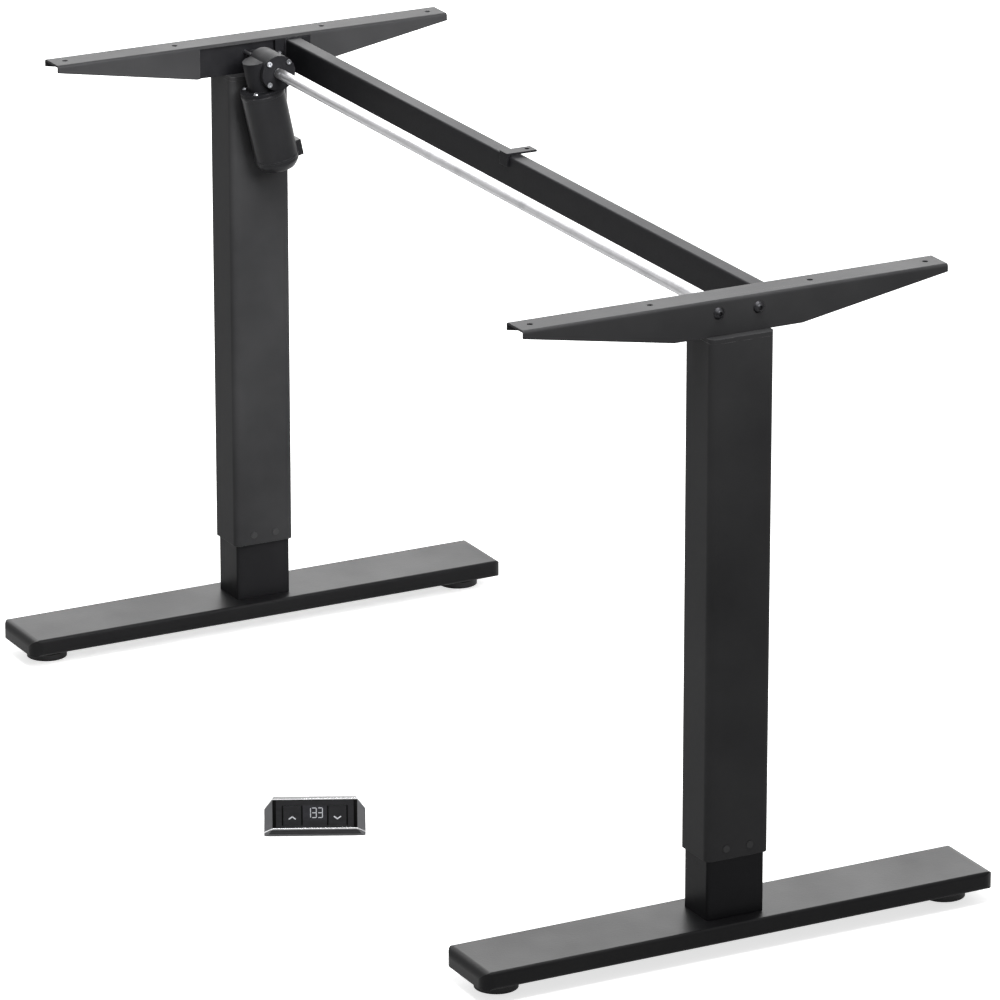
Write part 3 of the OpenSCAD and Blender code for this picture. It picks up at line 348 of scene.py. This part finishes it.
def painted_casting(name, dark, light, rubbed):
    """Black paint over a sand-cast skin."""
    finish, tree, shader = new_finish(name, specular=0.08)
    place = place_on(tree)
    lumps = cloud(tree, place, scale=420.0, detail=5.0, roughness=0.65)
    tone = cloud(tree, place, scale=30.0)
    body = blend_colours(tree, between(tree, tone), dark, light)
    patches = between(tree, lumps, high=0.5, start=0.45, stop=0.6)
    worn = rubbed_edges(tree, radius=0.6 * MM, patchy=patches)
    colour = blend_colours(tree, worn, body, rubbed)
    colour_and_roughness(tree, shader, colour, between(tree, tone, low=0.42, high=0.6))
    emboss(tree, shader, lumps, strength=0.35, depth=0.25 * MM, corner_radius=0.8 * MM)
    return finish


def thread_steel(name, dark, light, pitch):
    """Steel whose turned or rolled lines run round it at an even pitch along Z."""
    finish, tree, shader = new_finish(name, metallic=1.0)
    place = place_on(tree)
    rings = add_node(tree, "ShaderNodeTexWave", wave_type="BANDS", bands_direction="Z")
    # The bands repeat every pi / 10 at a scale of 1
    rings.inputs["Scale"].default_value = math.pi / (10.0 * pitch)
    rings.inputs["Distortion"].default_value = 0.2
    tree.links.new(place, rings.inputs["Vector"])
    groove = rings.outputs["Fac"]
    grease = cloud(tree, place, scale=50.0)
    colour = blend_colours(tree, groove, dark, light)
    colour_and_roughness(tree, shader, colour, between(tree, grease, low=0.2, high=0.45))
    emboss(tree, shader, groove, strength=0.6, depth=0.4 * MM)
    return finish


def circuit_board(name, resist, run):
    """Green solder resist with paler copper runs under it."""
    finish, tree, shader = new_finish(name)
    place = place_on(tree)
    cells = add_node(tree, "ShaderNodeTexVoronoi", distance="MANHATTAN", feature="DISTANCE_TO_EDGE")
    cells.inputs["Scale"].default_value = 260.0
    tree.links.new(place, cells.inputs["Vector"])
    copper = between(tree, cells.outputs["Distance"], low=1.0, high=0.0, start=0.02, stop=0.06)
    sheen = between(tree, cloud(tree, place, scale=200.0), low=0.25, high=0.4)
    colour_and_roughness(tree, shader, blend_colours(tree, copper, resist, run), sheen)
    emboss(tree, shader, copper, strength=0.2, depth=0.05 * MM)
    return finish


def lit_marks(name, colour, glow):
    """Printed or lit marks: a pale ink with a slight glow and fine specks. On printed marks the glow is
    painted light.
    """
    finish, tree, shader = new_finish(name, specular=0.3)
    specks = cloud(tree, place_on(tree), scale=1800.0)
    dim = tuple(0.8 * value for value in colour)
    ink = blend_colours(tree, between(tree, specks), dim, colour)
    colour_and_roughness(tree, shader, ink, between(tree, specks, low=0.4, high=0.6))
    shader.inputs["Emission Color"].default_value = (*colour, 1.0)
    shader.inputs["Emission Strength"].default_value = glow
    return finish


# The finishes

# The frame is one black powder coat. These copies differ in base colour as painted light and shade: the
# column and bracket copies are painted lighter, and the beam, foot and inner-tube copies are painted darker.
column_coat_painted_light = powder_coat("column_powder_coat_painted_light", (0.024, 0.024, 0.025), (0.034, 0.034, 0.035), specular=0.026)
bracket_coat_painted_light = powder_coat("bracket_powder_coat_painted_light", (0.023, 0.023, 0.024), (0.033, 0.033, 0.034), specular=0.03)
beam_coat_painted_shade = powder_coat("beam_powder_coat_painted_shade", (0.008, 0.008, 0.009), (0.012, 0.012, 0.013), specular=0.03)
foot_coat_painted_shade = powder_coat("foot_powder_coat_painted_shade", (0.005, 0.005, 0.0055), (0.008, 0.008, 0.0085), specular=0.1)
inner_coat_painted_shade = powder_coat("inner_tube_powder_coat_painted_shade", (0.009, 0.009, 0.01), (0.014, 0.014, 0.015), specular=0.04)
motor_paint = powder_coat(
    "motor_paint", (0.008, 0.008, 0.009), (0.014, 0.014, 0.015), specular=0.14, rough=(0.3, 0.42)
)
casting = painted_casting(
    "housing_casting", (0.005, 0.005, 0.006), (0.009, 0.009, 0.010), rubbed=(0.09, 0.09, 0.092)
)
mill_steel = bare_metal("mill_steel", (0.26, 0.26, 0.27), (0.36, 0.36, 0.37), rough=(0.4, 0.6))
zinc = bare_metal("zinc_plate", (0.24, 0.245, 0.26), (0.38, 0.385, 0.40), rough=(0.26, 0.4), lines=900.0)
black_oxide = bare_metal("black_oxide_bolts", (0.020, 0.020, 0.022), (0.045, 0.045, 0.048), rough=(0.35, 0.5))
rod_steel = bare_metal(
    "drawn_rod_steel",
    (0.38, 0.38, 0.39),
    (0.52, 0.52, 0.53),
    rough=(0.34, 0.46),
    stretch=(0.02, 1.0, 1.0),
    lines=700.0,
)
gear_steel = bare_metal("gear_steel", (0.46, 0.47, 0.49), (0.62, 0.63, 0.65), rough=(0.25, 0.4))
bronze = bare_metal("gear_bronze", (0.42, 0.27, 0.11), (0.60, 0.42, 0.19), rough=(0.25, 0.42))
screw_steel = thread_steel("rolled_screw_steel", (0.30, 0.30, 0.31), (0.62, 0.62, 0.64), pitch=4 * MM)
liner_plastic = moulded_plastic(
    "liner_acetal", (0.016, 0.016, 0.017), (0.028, 0.028, 0.029), rough=(0.3, 0.45), grain=700.0
)
glide_nylon = moulded_plastic("glide_nylon", (0.010, 0.010, 0.011), (0.018, 0.018, 0.019))
pin_plastic = moulded_plastic("pin_plastic", (0.022, 0.022, 0.023), (0.032, 0.032, 0.033), specular=0.15)
# Deep black for the grooves beside the keys, and for the panel's end bands, where it is painted shade.
groove_black_and_painted_shade = moulded_plastic(
    "groove_black_and_painted_shade", (0.002, 0.002, 0.002), (0.004, 0.004, 0.004), rough=(0.6, 0.8), specular=0.03
)
handset_plastic = moulded_plastic(
    "handset_case_plastic", (0.085, 0.086, 0.09), (0.12, 0.121, 0.126), rough=(0.34, 0.46)
)
panel_acrylic = gloss_acrylic("panel_acrylic", (0.008, 0.008, 0.009), (0.014, 0.014, 0.016), coat=0.1)
window_acrylic = gloss_acrylic("window_acrylic", (0.010, 0.010, 0.013), (0.018, 0.018, 0.022), coat=0.2)
skirt_acrylic = gloss_acrylic("skirt_acrylic", (0.016, 0.016, 0.018), (0.026, 0.026, 0.028), coat=0.15)
chrome = chrome_plate("trim_chrome", (0.78, 0.78, 0.80), (0.88, 0.88, 0.89))
board_green = circuit_board("board_resist", (0.015, 0.09, 0.04), (0.06, 0.22, 0.09))
digit_light = lit_marks("digit_light", (0.50, 0.51, 0.54), glow=0.12)
# The arrows are printed, not lit, so their slight glow is painted light.
key_ink_painted_glow = lit_marks("key_ink_painted_glow", (0.62, 0.63, 0.66), glow=0.05)

FINISH_OF_SLOT = {
    "foot_coat": foot_coat_painted_shade,
    "inner_coat": inner_coat_painted_shade,
    "column_coat": column_coat_painted_light,
    "bracket_coat": bracket_coat_painted_light,
    "beam_coat": beam_coat_painted_shade,
    "bare_steel": mill_steel,
    "zinc_screws": zinc,
    "black_bolts": black_oxide,
    "liner_plastic": liner_plastic,
    "bronze": bronze,
    "bright_steel": screw_steel,
    "bearing_steel": gear_steel,
    "rod_steel": rod_steel,
    "glide_plastic": glide_nylon,
    "pin_plastic": pin_plastic,
    "housing_cast": casting,
    "motor_coat": motor_paint,
    "handset_shell": handset_plastic,
    "gloss_panel": panel_acrylic,
    "display_window": window_acrylic,
    "chrome_trim": chrome,
    "board_green": board_green,
}

for part in frame["record"]["subparts"]:
    packed = nodes[part["node"]]
    packed.data.materials.clear()
    packed.data.materials.append(FINISH_OF_SLOT[part["material_slot"]])


# The crossbeam's welds

WELD_BEAD_RADIUS = 1.9 * MM
WELD_CORNER_RADIUS = 2.5 * MM
WELD_RIPPLE_LENGTH = 2.2 * MM
WELD_RIPPLE_HEIGHT = 0.9 * MM


def weld_bead(depth, height):
    """A closed bead of weld round an end of the crossbeam, lying in the XY plane."""
    start_piece()
    bpy.ops.mesh.primitive_plane_add(size=1.0)
    ring = bpy.context.object
    ring.scale = (depth, height, 1.0)
    apply_scale(ring)
    bpy.ops.object.mode_set(mode="EDIT")
    bpy.ops.mesh.select_all(action="SELECT")
    bpy.ops.mesh.bevel(offset=WELD_CORNER_RADIUS, segments=3, affect="VERTICES")
    bpy.ops.mesh.delete(type="ONLY_FACE")
    bpy.ops.mesh.select_all(action="SELECT")
    bpy.ops.mesh.subdivide(number_cuts=9)
    bpy.ops.object.mode_set(mode="OBJECT")
    # The outline becomes a curve, so that it can be given the bead's thickness
    bpy.ops.object.convert(target="CURVE")
    bead = bpy.context.object
    bead.data.bevel_depth = WELD_BEAD_RADIUS
    bead.data.bevel_resolution = 3
    bpy.ops.object.convert(target="MESH")
    bead = bpy.context.object
    ripple = bpy.data.textures.new("weld_ripple", "CLOUDS")
    ripple.noise_scale = WELD_RIPPLE_LENGTH
    apply_modifier(
        bead, "DISPLACE", texture=ripple, texture_coords="LOCAL", strength=WELD_RIPPLE_HEIGHT, mid_level=0.5
    )
    return bead


def beam_welds():
    """A ring of weld where the crossbeam meets each of its end plates."""
    low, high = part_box("crossbeam")
    middle = (low + high) / 2
    # The bead's X goes to the beam's depth and its Y to the beam's height
    stand_up = Matrix(((0, 0, 1), (1, 0, 0), (0, 1, 0))).to_4x4()
    bead = weld_bead(high.y - low.y, high.z - low.z)
    for leg, ring, end in (("left", bead, low.x), ("right", copy_piece(bead), high.x)):
        place = Matrix.Translation((end, middle.y, middle.z)) @ stand_up
        settle(ring, f"{leg}_beam_weld", "top_frame", beam_coat_painted_shade, place)


# The gear housings

BOSS_FILLET_RADIUS = 13.2 * MM
BOSS_FILLET_THICKNESS = 1.3 * MM
# From the middle of the leg to the housing's wall
BOSS_FILLET_SEAT = 17.2 * MM


def boss_fillet():
    """The cast fillet at the root of a boss round the drive rod, with its flat seat towards +Z."""
    start_piece()
    bpy.ops.mesh.primitive_torus_add(
        major_radius=BOSS_FILLET_RADIUS,
        minor_radius=BOSS_FILLET_THICKNESS,
        major_segments=72,
        minor_segments=12,
    )
    fillet = bpy.context.object
    seat_start = 0.3 * BOSS_FILLET_THICKNESS
    nearly_flat = 0.02
    pick_faces(fillet, lambda face: face.center.z > seat_start)
    bpy.ops.transform.resize(value=(1.0, 1.0, nearly_flat))
    bpy.ops.object.mode_set(mode="OBJECT")
    return fillet


def boss_fillets():
    """One fillet on each gear housing, round the drive rod, on the side that faces the other leg."""
    sleeve_low, sleeve_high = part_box("rod_sleeve")
    rod_rise = (sleeve_low.z + sleeve_high.z) / 2
    fillet = boss_fillet()
    for leg, piece, side in (("left", fillet, -1), ("right", copy_piece(fillet), 1)):
        low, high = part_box(f"{leg}_outer_tube")
        leg_x = (low.x + high.x) / 2
        seat_out = Matrix.Rotation(side * math.pi / 2, 4, "Y")
        place = Matrix.Translation((leg_x - side * BOSS_FILLET_SEAT, 0, rod_rise)) @ seat_out
        settle(piece, f"{leg}_boss_fillet", "top_frame", casting, place)


# The motor

# Its own frame: where the worm passes the wheel, tilted so that the motor's end points back
MOTOR_PLACE = Vector((-0.540, -0.01565, 0.72967))
MOTOR_TILT = math.radians(12)
MOTOR_CAP_HEIGHT = 14 * MM
MOTOR_BAND_PROUD = 0.5 * MM
CAP_SEAM_WIDTH = 2.4 * MM
TOP_BAND_WIDTH = 4 * MM
TOP_BAND_GAP = 0.5 * MM

motor_frame = Matrix.Translation(MOTOR_PLACE) @ Matrix.Rotation(MOTOR_TILT, 4, "X")
motor_low, motor_high = box_in(motor_frame, "motor")


def motor_band(name, width, middle):
    """A rolled band round the motor's can, given by its width and by its middle along the motor."""
    start_piece()
    bpy.ops.mesh.primitive_cylinder_add(
        vertices=96, radius=motor_high.x, depth=width, end_fill_type="NOTHING", location=(0, 0, middle)
    )
    band = bpy.context.object
    apply_modifier(band, "SOLIDIFY", thickness=2 * MOTOR_BAND_PROUD, offset=0.0)
    soften(band, 0.45 * MOTOR_BAND_PROUD, segments=3)
    settle(band, name, "top_frame", motor_paint, motor_frame)


# The small screws

# The recess's size, as shares of the head's radius and of its height
RECESS_LENGTH = 1.1
RECESS_WIDTH = 0.24
RECESS_DEPTH = 0.45

FLANGE_SCREW_RADIUS = 3.6 * MM
FLANGE_SCREW_HEIGHT = 2.4 * MM
FLANGE_SCREW_OFFSET = 15.6 * MM
FLANGE_SCREW_SEAT = -20 * MM
END_SCREW_RADIUS = 3.2 * MM
END_SCREW_HEIGHT = 2.2 * MM
END_SCREW_OFFSET = 17 * MM
END_SCREW_INSET = 3.2 * MM
SLEEVE_SCREW_RADIUS = 2.2 * MM
SLEEVE_SCREW_HEIGHT = 0.7 * MM
SLEEVE_SCREW_INSET = 9 * MM
SLEEVE_SCREW_SINK = 0.25 * MM
SLEEVE_SCREW_TURNS = (math.radians(62), math.radians(-28))


def pan_screw(radius, height):
    """A pan-head screw with a cross recess, its flat side at z = 0 and its head above."""
    start_piece()
    bpy.ops.mesh.primitive_uv_sphere_add(segments=32, ring_count=16, radius=radius)
    head = bpy.context.object
    head.scale = (1.0, 1.0, height / radius)
    apply_scale(head)
    bpy.ops.object.mode_set(mode="EDIT")
    bpy.ops.mesh.select_all(action="SELECT")
    bpy.ops.mesh.bisect(plane_co=(0, 0, 0), plane_no=(0, 0, 1), clear_inner=True, use_fill=True)
    for turn in (0, math.pi / 2):
        start_piece()
        bpy.ops.mesh.primitive_cube_add(size=1.0, location=(0, 0, height), rotation=(0, 0, turn))
        arm = bpy.context.object
        arm.scale = (RECESS_LENGTH * radius, RECESS_WIDTH * radius, 2 * RECESS_DEPTH * height)
        apply_modifier(head, "BOOLEAN", operation="DIFFERENCE", object=arm, solver="EXACT")
        bpy.data.objects.remove(arm)
    # The cuts leave points that lie almost on each other
    bpy.ops.object.mode_set(mode="EDIT")
    bpy.ops.mesh.select_all(action="SELECT")
    bpy.ops.mesh.remove_doubles(threshold=0.005 * MM)
    bpy.ops.object.mode_set(mode="OBJECT")
    return head


def motor_flange_screws():
    """The two screws in view that hold the motor on its gearbox."""
    places = [
        Matrix.Translation((side * FLANGE_SCREW_OFFSET, -FLANGE_SCREW_OFFSET, FLANGE_SCREW_SEAT))
        for side in (-1, 1)
    ]
    screws = repeat_piece(pan_screw(FLANGE_SCREW_RADIUS, FLANGE_SCREW_HEIGHT), places)
    settle(screws, "motor_flange_screws", "top_frame", zinc, motor_frame)


def motor_end_screws():
    """The two long screws whose heads show in the motor's end cap."""
    head_down = Matrix.Rotation(math.pi, 4, "X")
    places = [
        Matrix.Translation((side * END_SCREW_OFFSET, 0, motor_low.z + END_SCREW_INSET)) @ head_down
        for side in (-1, 1)
    ]
    screws = repeat_piece(pan_screw(END_SCREW_RADIUS, END_SCREW_HEIGHT), places)
    settle(screws, "motor_end_screws", "top_frame", zinc, motor_frame)


def sleeve_screws():
    """Two set screws near each end of the sleeve, which hold it on the drive rod."""
    low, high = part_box("rod_sleeve")
    middle = (low + high) / 2
    on_surface = Matrix.Translation((0, 0, (high.z - low.z) / 2 - SLEEVE_SCREW_SINK))
    places = [
        Matrix.Translation((end, middle.y, middle.z)) @ Matrix.Rotation(turn, 4, "X") @ on_surface
        for end in (low.x + SLEEVE_SCREW_INSET, high.x - SLEEVE_SCREW_INSET)
        for turn in SLEEVE_SCREW_TURNS
    ]
    screws = repeat_piece(pan_screw(SLEEVE_SCREW_RADIUS, SLEEVE_SCREW_HEIGHT), places)
    settle(screws, "sleeve_screws", "drive_shaft", zinc)


# The handset

# Its front: the place on the floor, the turn about Z and the lean from upright
HANDSET_PLACE = Vector((0.110, -0.268, 0.0))
HANDSET_TURN = math.radians(64)
HANDSET_LEAN = math.radians(19)

front_frame = (
    Matrix.Translation(HANDSET_PLACE)
    @ Matrix.Rotation(HANDSET_TURN, 4, "Z")
    @ Matrix.Rotation(-HANDSET_LEAN, 4, "X")
)
case_low, case_high = box_in(front_frame, "handset_case")
panel_low, panel_high = box_in(front_frame, "handset_panel")
button_low, button_high = box_in(front_frame, "down_button")

PANEL_RISE = panel_low.z
PANEL_WIDTH = panel_high.x - panel_low.x
PANEL_HEIGHT = panel_high.z - panel_low.z
BUTTON_X = (button_low.x + button_high.x) / 2
BUTTON_RISE = button_low.z
BUTTON_WIDTH = button_high.x - button_low.x
BUTTON_HEIGHT = button_high.z - button_low.z

# Printed and lit marks, whose backs lie just under the surface
PRINT_THICKNESS = 0.12 * MM
PRINT_Y = -PRINT_THICKNESS / 4
DIGIT_RISE = PANEL_RISE + 12 * MM
DIGIT_WIDTH = 5.2 * MM
DIGIT_HEIGHT = 11.2 * MM
SEGMENT_WIDTH = 0.9 * MM
SEGMENT_GAP = 0.25 * MM
SEGMENT_POINT_SHARE = 0.15
ARROW_RISE = PANEL_RISE + 11.8 * MM
ARROW_SLOPE = math.radians(36)
ARROW_ARM_X = 1.95 * MM
ARROW_ARM_LENGTH = 5.2 * MM
ARROW_ARM_WIDTH = 1.25 * MM
ARROW_CORNER = 0.04 * MM

# How far up a digit its level and its upright segments lie, as shares of its height, and each digit's middle
LEVELS_OF_1 = ()
LEVELS_OF_3 = (0.0, 0.5, 1.0)
UPRIGHT_LEVELS = (0.25, 0.75)
DIGITS = ((-7.6 * MM, LEVELS_OF_1), (-0.9 * MM, LEVELS_OF_3), (6.3 * MM, LEVELS_OF_3))

# Bars on the panel
BAR_CORNER = 0.03 * MM
GROOVE_WIDTH = 1.5 * MM
GROOVE_GAP = 0.4 * MM
# The end bands are painted shade at both ends of the panel.
END_BAND_WIDTH = 3.8 * MM
END_BAND_MARGIN_X = 0.5 * MM
END_BAND_MARGIN_Z = 0.6 * MM
TRIM_HEIGHT = 1.3 * MM
TRIM_THICKNESS = 0.525 * MM
TRIM_CORNER = 0.15 * MM
TRIM_GAP = 0.1 * MM

# The sloping face under the panel, and the dark band on it, whose edges are shares of the way down
SKIRT_DEPTH = 7 * MM
SKIRT_SPREAD = case_high.x - panel_high.x
INLAY_TOP = 0.22
INLAY_BOTTOM = 0.62
INLAY_MARGIN = 1.3 * MM
INLAY_THICKNESS = 0.4 * MM
INLAY_CORNER = 0.1 * MM


def segment(length):
    """A segment of a digit along X, pointed at both ends."""
    half_width = SEGMENT_WIDTH / 2
    start_piece()
    bpy.ops.mesh.primitive_cube_add(size=1.0)
    bar = bpy.context.object
    bar.scale = (length - 2 * half_width, PRINT_THICKNESS, SEGMENT_WIDTH)
    apply_scale(bar)
    pick_faces(bar, lambda face: abs(face.normal.x) > 0.9)
    bpy.ops.mesh.extrude_faces_move(TRANSFORM_OT_shrink_fatten={"value": half_width})
    bpy.ops.transform.resize(value=(1.0, 1.0, SEGMENT_POINT_SHARE))
    bpy.ops.object.mode_set(mode="OBJECT")
    return bar


def display_digits():
    """A height in plain lit digits, each with its two right-hand segments and up to three level ones."""
    stand_up = Matrix.Rotation(math.pi / 2, 4, "Y")
    level_places = []
    upright_places = []
    for x, levels in DIGITS:
        for share in levels:
            level_places.append(Matrix.Translation((x, PRINT_Y, DIGIT_RISE + share * DIGIT_HEIGHT)))
        for share in UPRIGHT_LEVELS:
            middle = (x + DIGIT_WIDTH / 2, PRINT_Y, DIGIT_RISE + share * DIGIT_HEIGHT)
            upright_places.append(Matrix.Translation(middle) @ stand_up)
    level = repeat_piece(segment(DIGIT_WIDTH - SEGMENT_GAP), level_places)
    upright = repeat_piece(segment(DIGIT_HEIGHT / 2 - SEGMENT_GAP), upright_places)
    digits = join_pieces([level, upright])
    settle(digits, "display_digits", "handset", digit_light, front_frame)


def button_arrows():
    """The open arrow heads printed on the buttons: one that points up, and its copy turned to point down."""
    start_piece()
    bpy.ops.mesh.primitive_cube_add(size=1.0)
    arm = bpy.context.object
    arm.scale = (ARROW_ARM_LENGTH, PRINT_THICKNESS, ARROW_ARM_WIDTH)
    apply_scale(arm)
    soften(arm, ARROW_CORNER, segments=1)
    arms = [
        Matrix.Translation((side * ARROW_ARM_X, 0, 0)) @ Matrix.Rotation(side * ARROW_SLOPE, 4, "Y")
        for side in (-1, 1)
    ]
    up_mark = repeat_piece(arm, arms)
    down_mark = copy_piece(up_mark)
    up_place = Matrix.Translation((-BUTTON_X, PRINT_Y, ARROW_RISE))
    down_place = Matrix.Translation((BUTTON_X, PRINT_Y, ARROW_RISE)) @ Matrix.Rotation(math.pi, 4, "Y")
    settle(up_mark, "up_mark", "up_button", key_ink_painted_glow, front_frame @ up_place)
    settle(down_mark, "down_mark", "down_button", key_ink_painted_glow, front_frame @ down_place)


def front_bar(width, height, thickness, corner):
    """A bar for the handset's front, up from the origin, with a sixth of its thickness under the surface."""
    start_piece()
    bpy.ops.mesh.primitive_cube_add(size=1.0, location=(0, -thickness / 3, height / 2))
    bar = bpy.context.object
    bar.scale = (width, thickness, height)
    bpy.ops.object.transform_apply(location=True, rotation=False, scale=True)
    soften(bar, corner)
    return bar


def key_grooves():
    """The dark grooves on both sides of the two keys."""
    beside = BUTTON_WIDTH / 2 + GROOVE_GAP + GROOVE_WIDTH / 2
    places = [
        Matrix.Translation((key * BUTTON_X + side * beside, 0, BUTTON_RISE))
        for key in (-1, 1)
        for side in (-1, 1)
    ]
    grooves = repeat_piece(front_bar(GROOVE_WIDTH, BUTTON_HEIGHT, PRINT_THICKNESS, BAR_CORNER), places)
    settle(grooves, "key_grooves", "handset", groove_black_and_painted_shade, front_frame)


def panel_end_painted_shade_bands():
    """Painted shade: deep black bands at both ends of the front panel, standing in for the dark reflection on
    the panel's ends.
    """
    x = (PANEL_WIDTH - END_BAND_WIDTH) / 2 - END_BAND_MARGIN_X
    places = [Matrix.Translation((side * x, 0, PANEL_RISE + END_BAND_MARGIN_Z)) for side in (-1, 1)]
    height = PANEL_HEIGHT - 2 * END_BAND_MARGIN_Z
    band = front_bar(END_BAND_WIDTH, height, PRINT_THICKNESS, BAR_CORNER)
    bands = repeat_piece(band, places)
    settle(bands, "panel_end_painted_shade_bands", "handset", groove_black_and_painted_shade, front_frame)


def top_trim():
    """The bright strip along the upper edge of the front panel."""
    strip = front_bar(PANEL_WIDTH, TRIM_HEIGHT, TRIM_THICKNESS, TRIM_CORNER)
    place = front_frame @ Matrix.Translation((0, 0, PANEL_RISE + PANEL_HEIGHT + TRIM_GAP))
    settle(strip, "handset_top_trim", "handset", chrome, place)


def skirt_inlay():
    """The dark glossy band on the sloping face under the front panel."""
    slant = Vector((0.0, -SKIRT_DEPTH, PANEL_RISE))
    start_piece()
    bpy.ops.mesh.primitive_plane_add(size=1.0)
    band = bpy.context.object
    top_width = PANEL_WIDTH + 2 * SKIRT_SPREAD * INLAY_TOP - 2 * INLAY_MARGIN
    band.scale = (top_width, slant.length * (INLAY_BOTTOM - INLAY_TOP), 1.0)
    apply_scale(band)
    # The skirt spreads downwards, so the band's lower edge is the wider one
    spread = (PANEL_WIDTH / 2 + SKIRT_SPREAD * INLAY_BOTTOM) / (PANEL_WIDTH / 2 + SKIRT_SPREAD * INLAY_TOP)
    pick_vertices(band, lambda vertex: vertex.co.y < 0)
    bpy.ops.transform.resize(value=(spread, 1.0, 1.0))
    bpy.ops.object.mode_set(mode="OBJECT")
    apply_modifier(band, "SOLIDIFY", thickness=INLAY_THICKNESS, offset=0.0)
    soften(band, INLAY_CORNER)
    across = Vector((1.0, 0.0, 0.0))
    up = slant.normalized()
    lie_on_skirt = Matrix((across, up, across.cross(up))).transposed().to_4x4()
    middle = Vector((0.0, 0.0, PANEL_RISE)) - slant * (INLAY_TOP + INLAY_BOTTOM) / 2
    place = front_frame @ Matrix.Translation(middle) @ lie_on_skirt
    settle(band, "handset_skirt_inlay", "handset", skirt_acrylic, place)


beam_welds()
boss_fillets()
motor_band("motor_cap_seam", CAP_SEAM_WIDTH, motor_low.z + MOTOR_CAP_HEIGHT)
motor_band("motor_top_band", TOP_BAND_WIDTH, motor_high.z - TOP_BAND_GAP - TOP_BAND_WIDTH / 2)
motor_flange_screws()
motor_end_screws()
sleeve_screws()
display_digits()
button_arrows()
key_grooves()
panel_end_painted_shade_bands()
top_trim()
skirt_inlay()


# Floor, light and camera

FLOOR_LIFT_IN_VIEW = 0.7
FLOOR_LIFT_IN_REFLECTIONS = 0.25
FLOOR_GREY = 0.74
WORLD_FILL = 0.36

# The camera's place, its turn about Z and its dip in degrees, and its focal length in millimetres
CAMERA_PLACE = (7.07162, -3.69528, 3.07405)
CAMERA_TURN = 62.2
CAMERA_DIP = 18.92
CAMERA_LENS = 257.94


def seen_rays(tree):
    """1 for the rays of the camera, of reflections and of transmission, otherwise 0."""
    path = add_node(tree, "ShaderNodeLightPath")
    viewed = combine(tree, "MAXIMUM", path.outputs["Is Camera Ray"], path.outputs["Is Glossy Ray"])
    return combine(tree, "MAXIMUM", viewed, path.outputs["Is Transmission Ray"])


def pale_floor():
    """A pale floor that the camera and reflections see as nearly white, with the object's shadow kept."""
    start_piece()
    bpy.ops.mesh.primitive_plane_add(size=30.0, location=(-2.0, 1.0, 0.0))
    floor = bpy.context.object
    floor.name = "floor"
    finish = bpy.data.materials.new("pale_floor")
    finish.use_nodes = True
    tree = finish.node_tree
    tree.nodes.clear()
    out = add_node(tree, "ShaderNodeOutputMaterial")
    matt = add_node(tree, "ShaderNodeBsdfDiffuse")
    matt.inputs["Color"].default_value = (FLOOR_GREY, FLOOR_GREY, FLOOR_GREY, 1.0)
    path = add_node(tree, "ShaderNodeLightPath")
    in_reflections = combine(tree, "MULTIPLY", seen_rays(tree), FLOOR_LIFT_IN_REFLECTIONS)
    more_in_view = FLOOR_LIFT_IN_VIEW - FLOOR_LIFT_IN_REFLECTIONS
    strength = combine(tree, "MULTIPLY_ADD", path.outputs["Is Camera Ray"], more_in_view, in_reflections)
    lift = add_node(tree, "ShaderNodeEmission")
    tree.links.new(strength, lift.inputs["Strength"])
    both = add_node(tree, "ShaderNodeAddShader")
    tree.links.new(matt.outputs["BSDF"], both.inputs[0])
    tree.links.new(lift.outputs["Emission"], both.inputs[1])
    tree.links.new(both.outputs["Shader"], out.inputs["Surface"])
    floor.data.materials.append(finish)


def studio_world():
    """White to the camera and in reflections, and a soft even fill elsewhere."""
    world = bpy.data.worlds.new("studio")
    bpy.context.scene.world = world
    world.use_nodes = True
    tree = world.node_tree
    background = tree.nodes["Background"]
    background.inputs["Color"].default_value = (1.0, 1.0, 1.0, 1.0)
    strength = between(tree, seen_rays(tree), low=WORLD_FILL, high=1.0, start=0.0, stop=1.0)
    tree.links.new(strength, background.inputs["Strength"])


def soft_light(name, place, aim, size, power, spread=180.0):
    """A soft lamp that points at a place and isn't in the picture itself, with its spread in degrees."""
    start_piece()
    bpy.ops.object.light_add(type="AREA", location=place)
    lamp = bpy.context.object
    lamp.name = name
    lamp.data.shape = "RECTANGLE"
    lamp.data.size, lamp.data.size_y = size
    lamp.data.energy = power
    lamp.data.spread = math.radians(spread)
    lamp.rotation_euler = (Vector(aim) - Vector(place)).to_track_quat("-Z", "Y").to_euler()
    lamp.visible_camera = False


def photo_camera():
    """A long lens from the front right, a little above the frame."""
    data = bpy.data.cameras.new("camera")
    camera = bpy.data.objects.new("camera", data)
    bpy.context.scene.collection.objects.link(camera)
    data.sensor_width = 36.0
    data.lens = CAMERA_LENS
    data.clip_end = 60.0
    camera.location = CAMERA_PLACE
    camera.rotation_euler = (math.radians(90 - CAMERA_DIP), 0.0, math.radians(CAMERA_TURN))
    bpy.context.scene.camera = camera


pale_floor()
studio_world()
soft_light("overhead", place=(0.5, -0.1, 2.0), aim=(-0.2, 0.0, 0.4), size=(1.2, 1.2), power=48.0)
soft_light(
    "far_leg_light", place=(1.5, 0.15, 1.75), aim=(-0.6, 0.0, 0.86), size=(0.9, 0.9), power=7.0, spread=46.0
)
soft_light("backdrop_light", place=(-3.4, 1.8, 1.9), aim=(0.0, 0.0, 0.4), size=(5.0, 2.4), power=165.0)
photo_camera()
bpy.context.scene.view_settings.view_transform = "Standard"
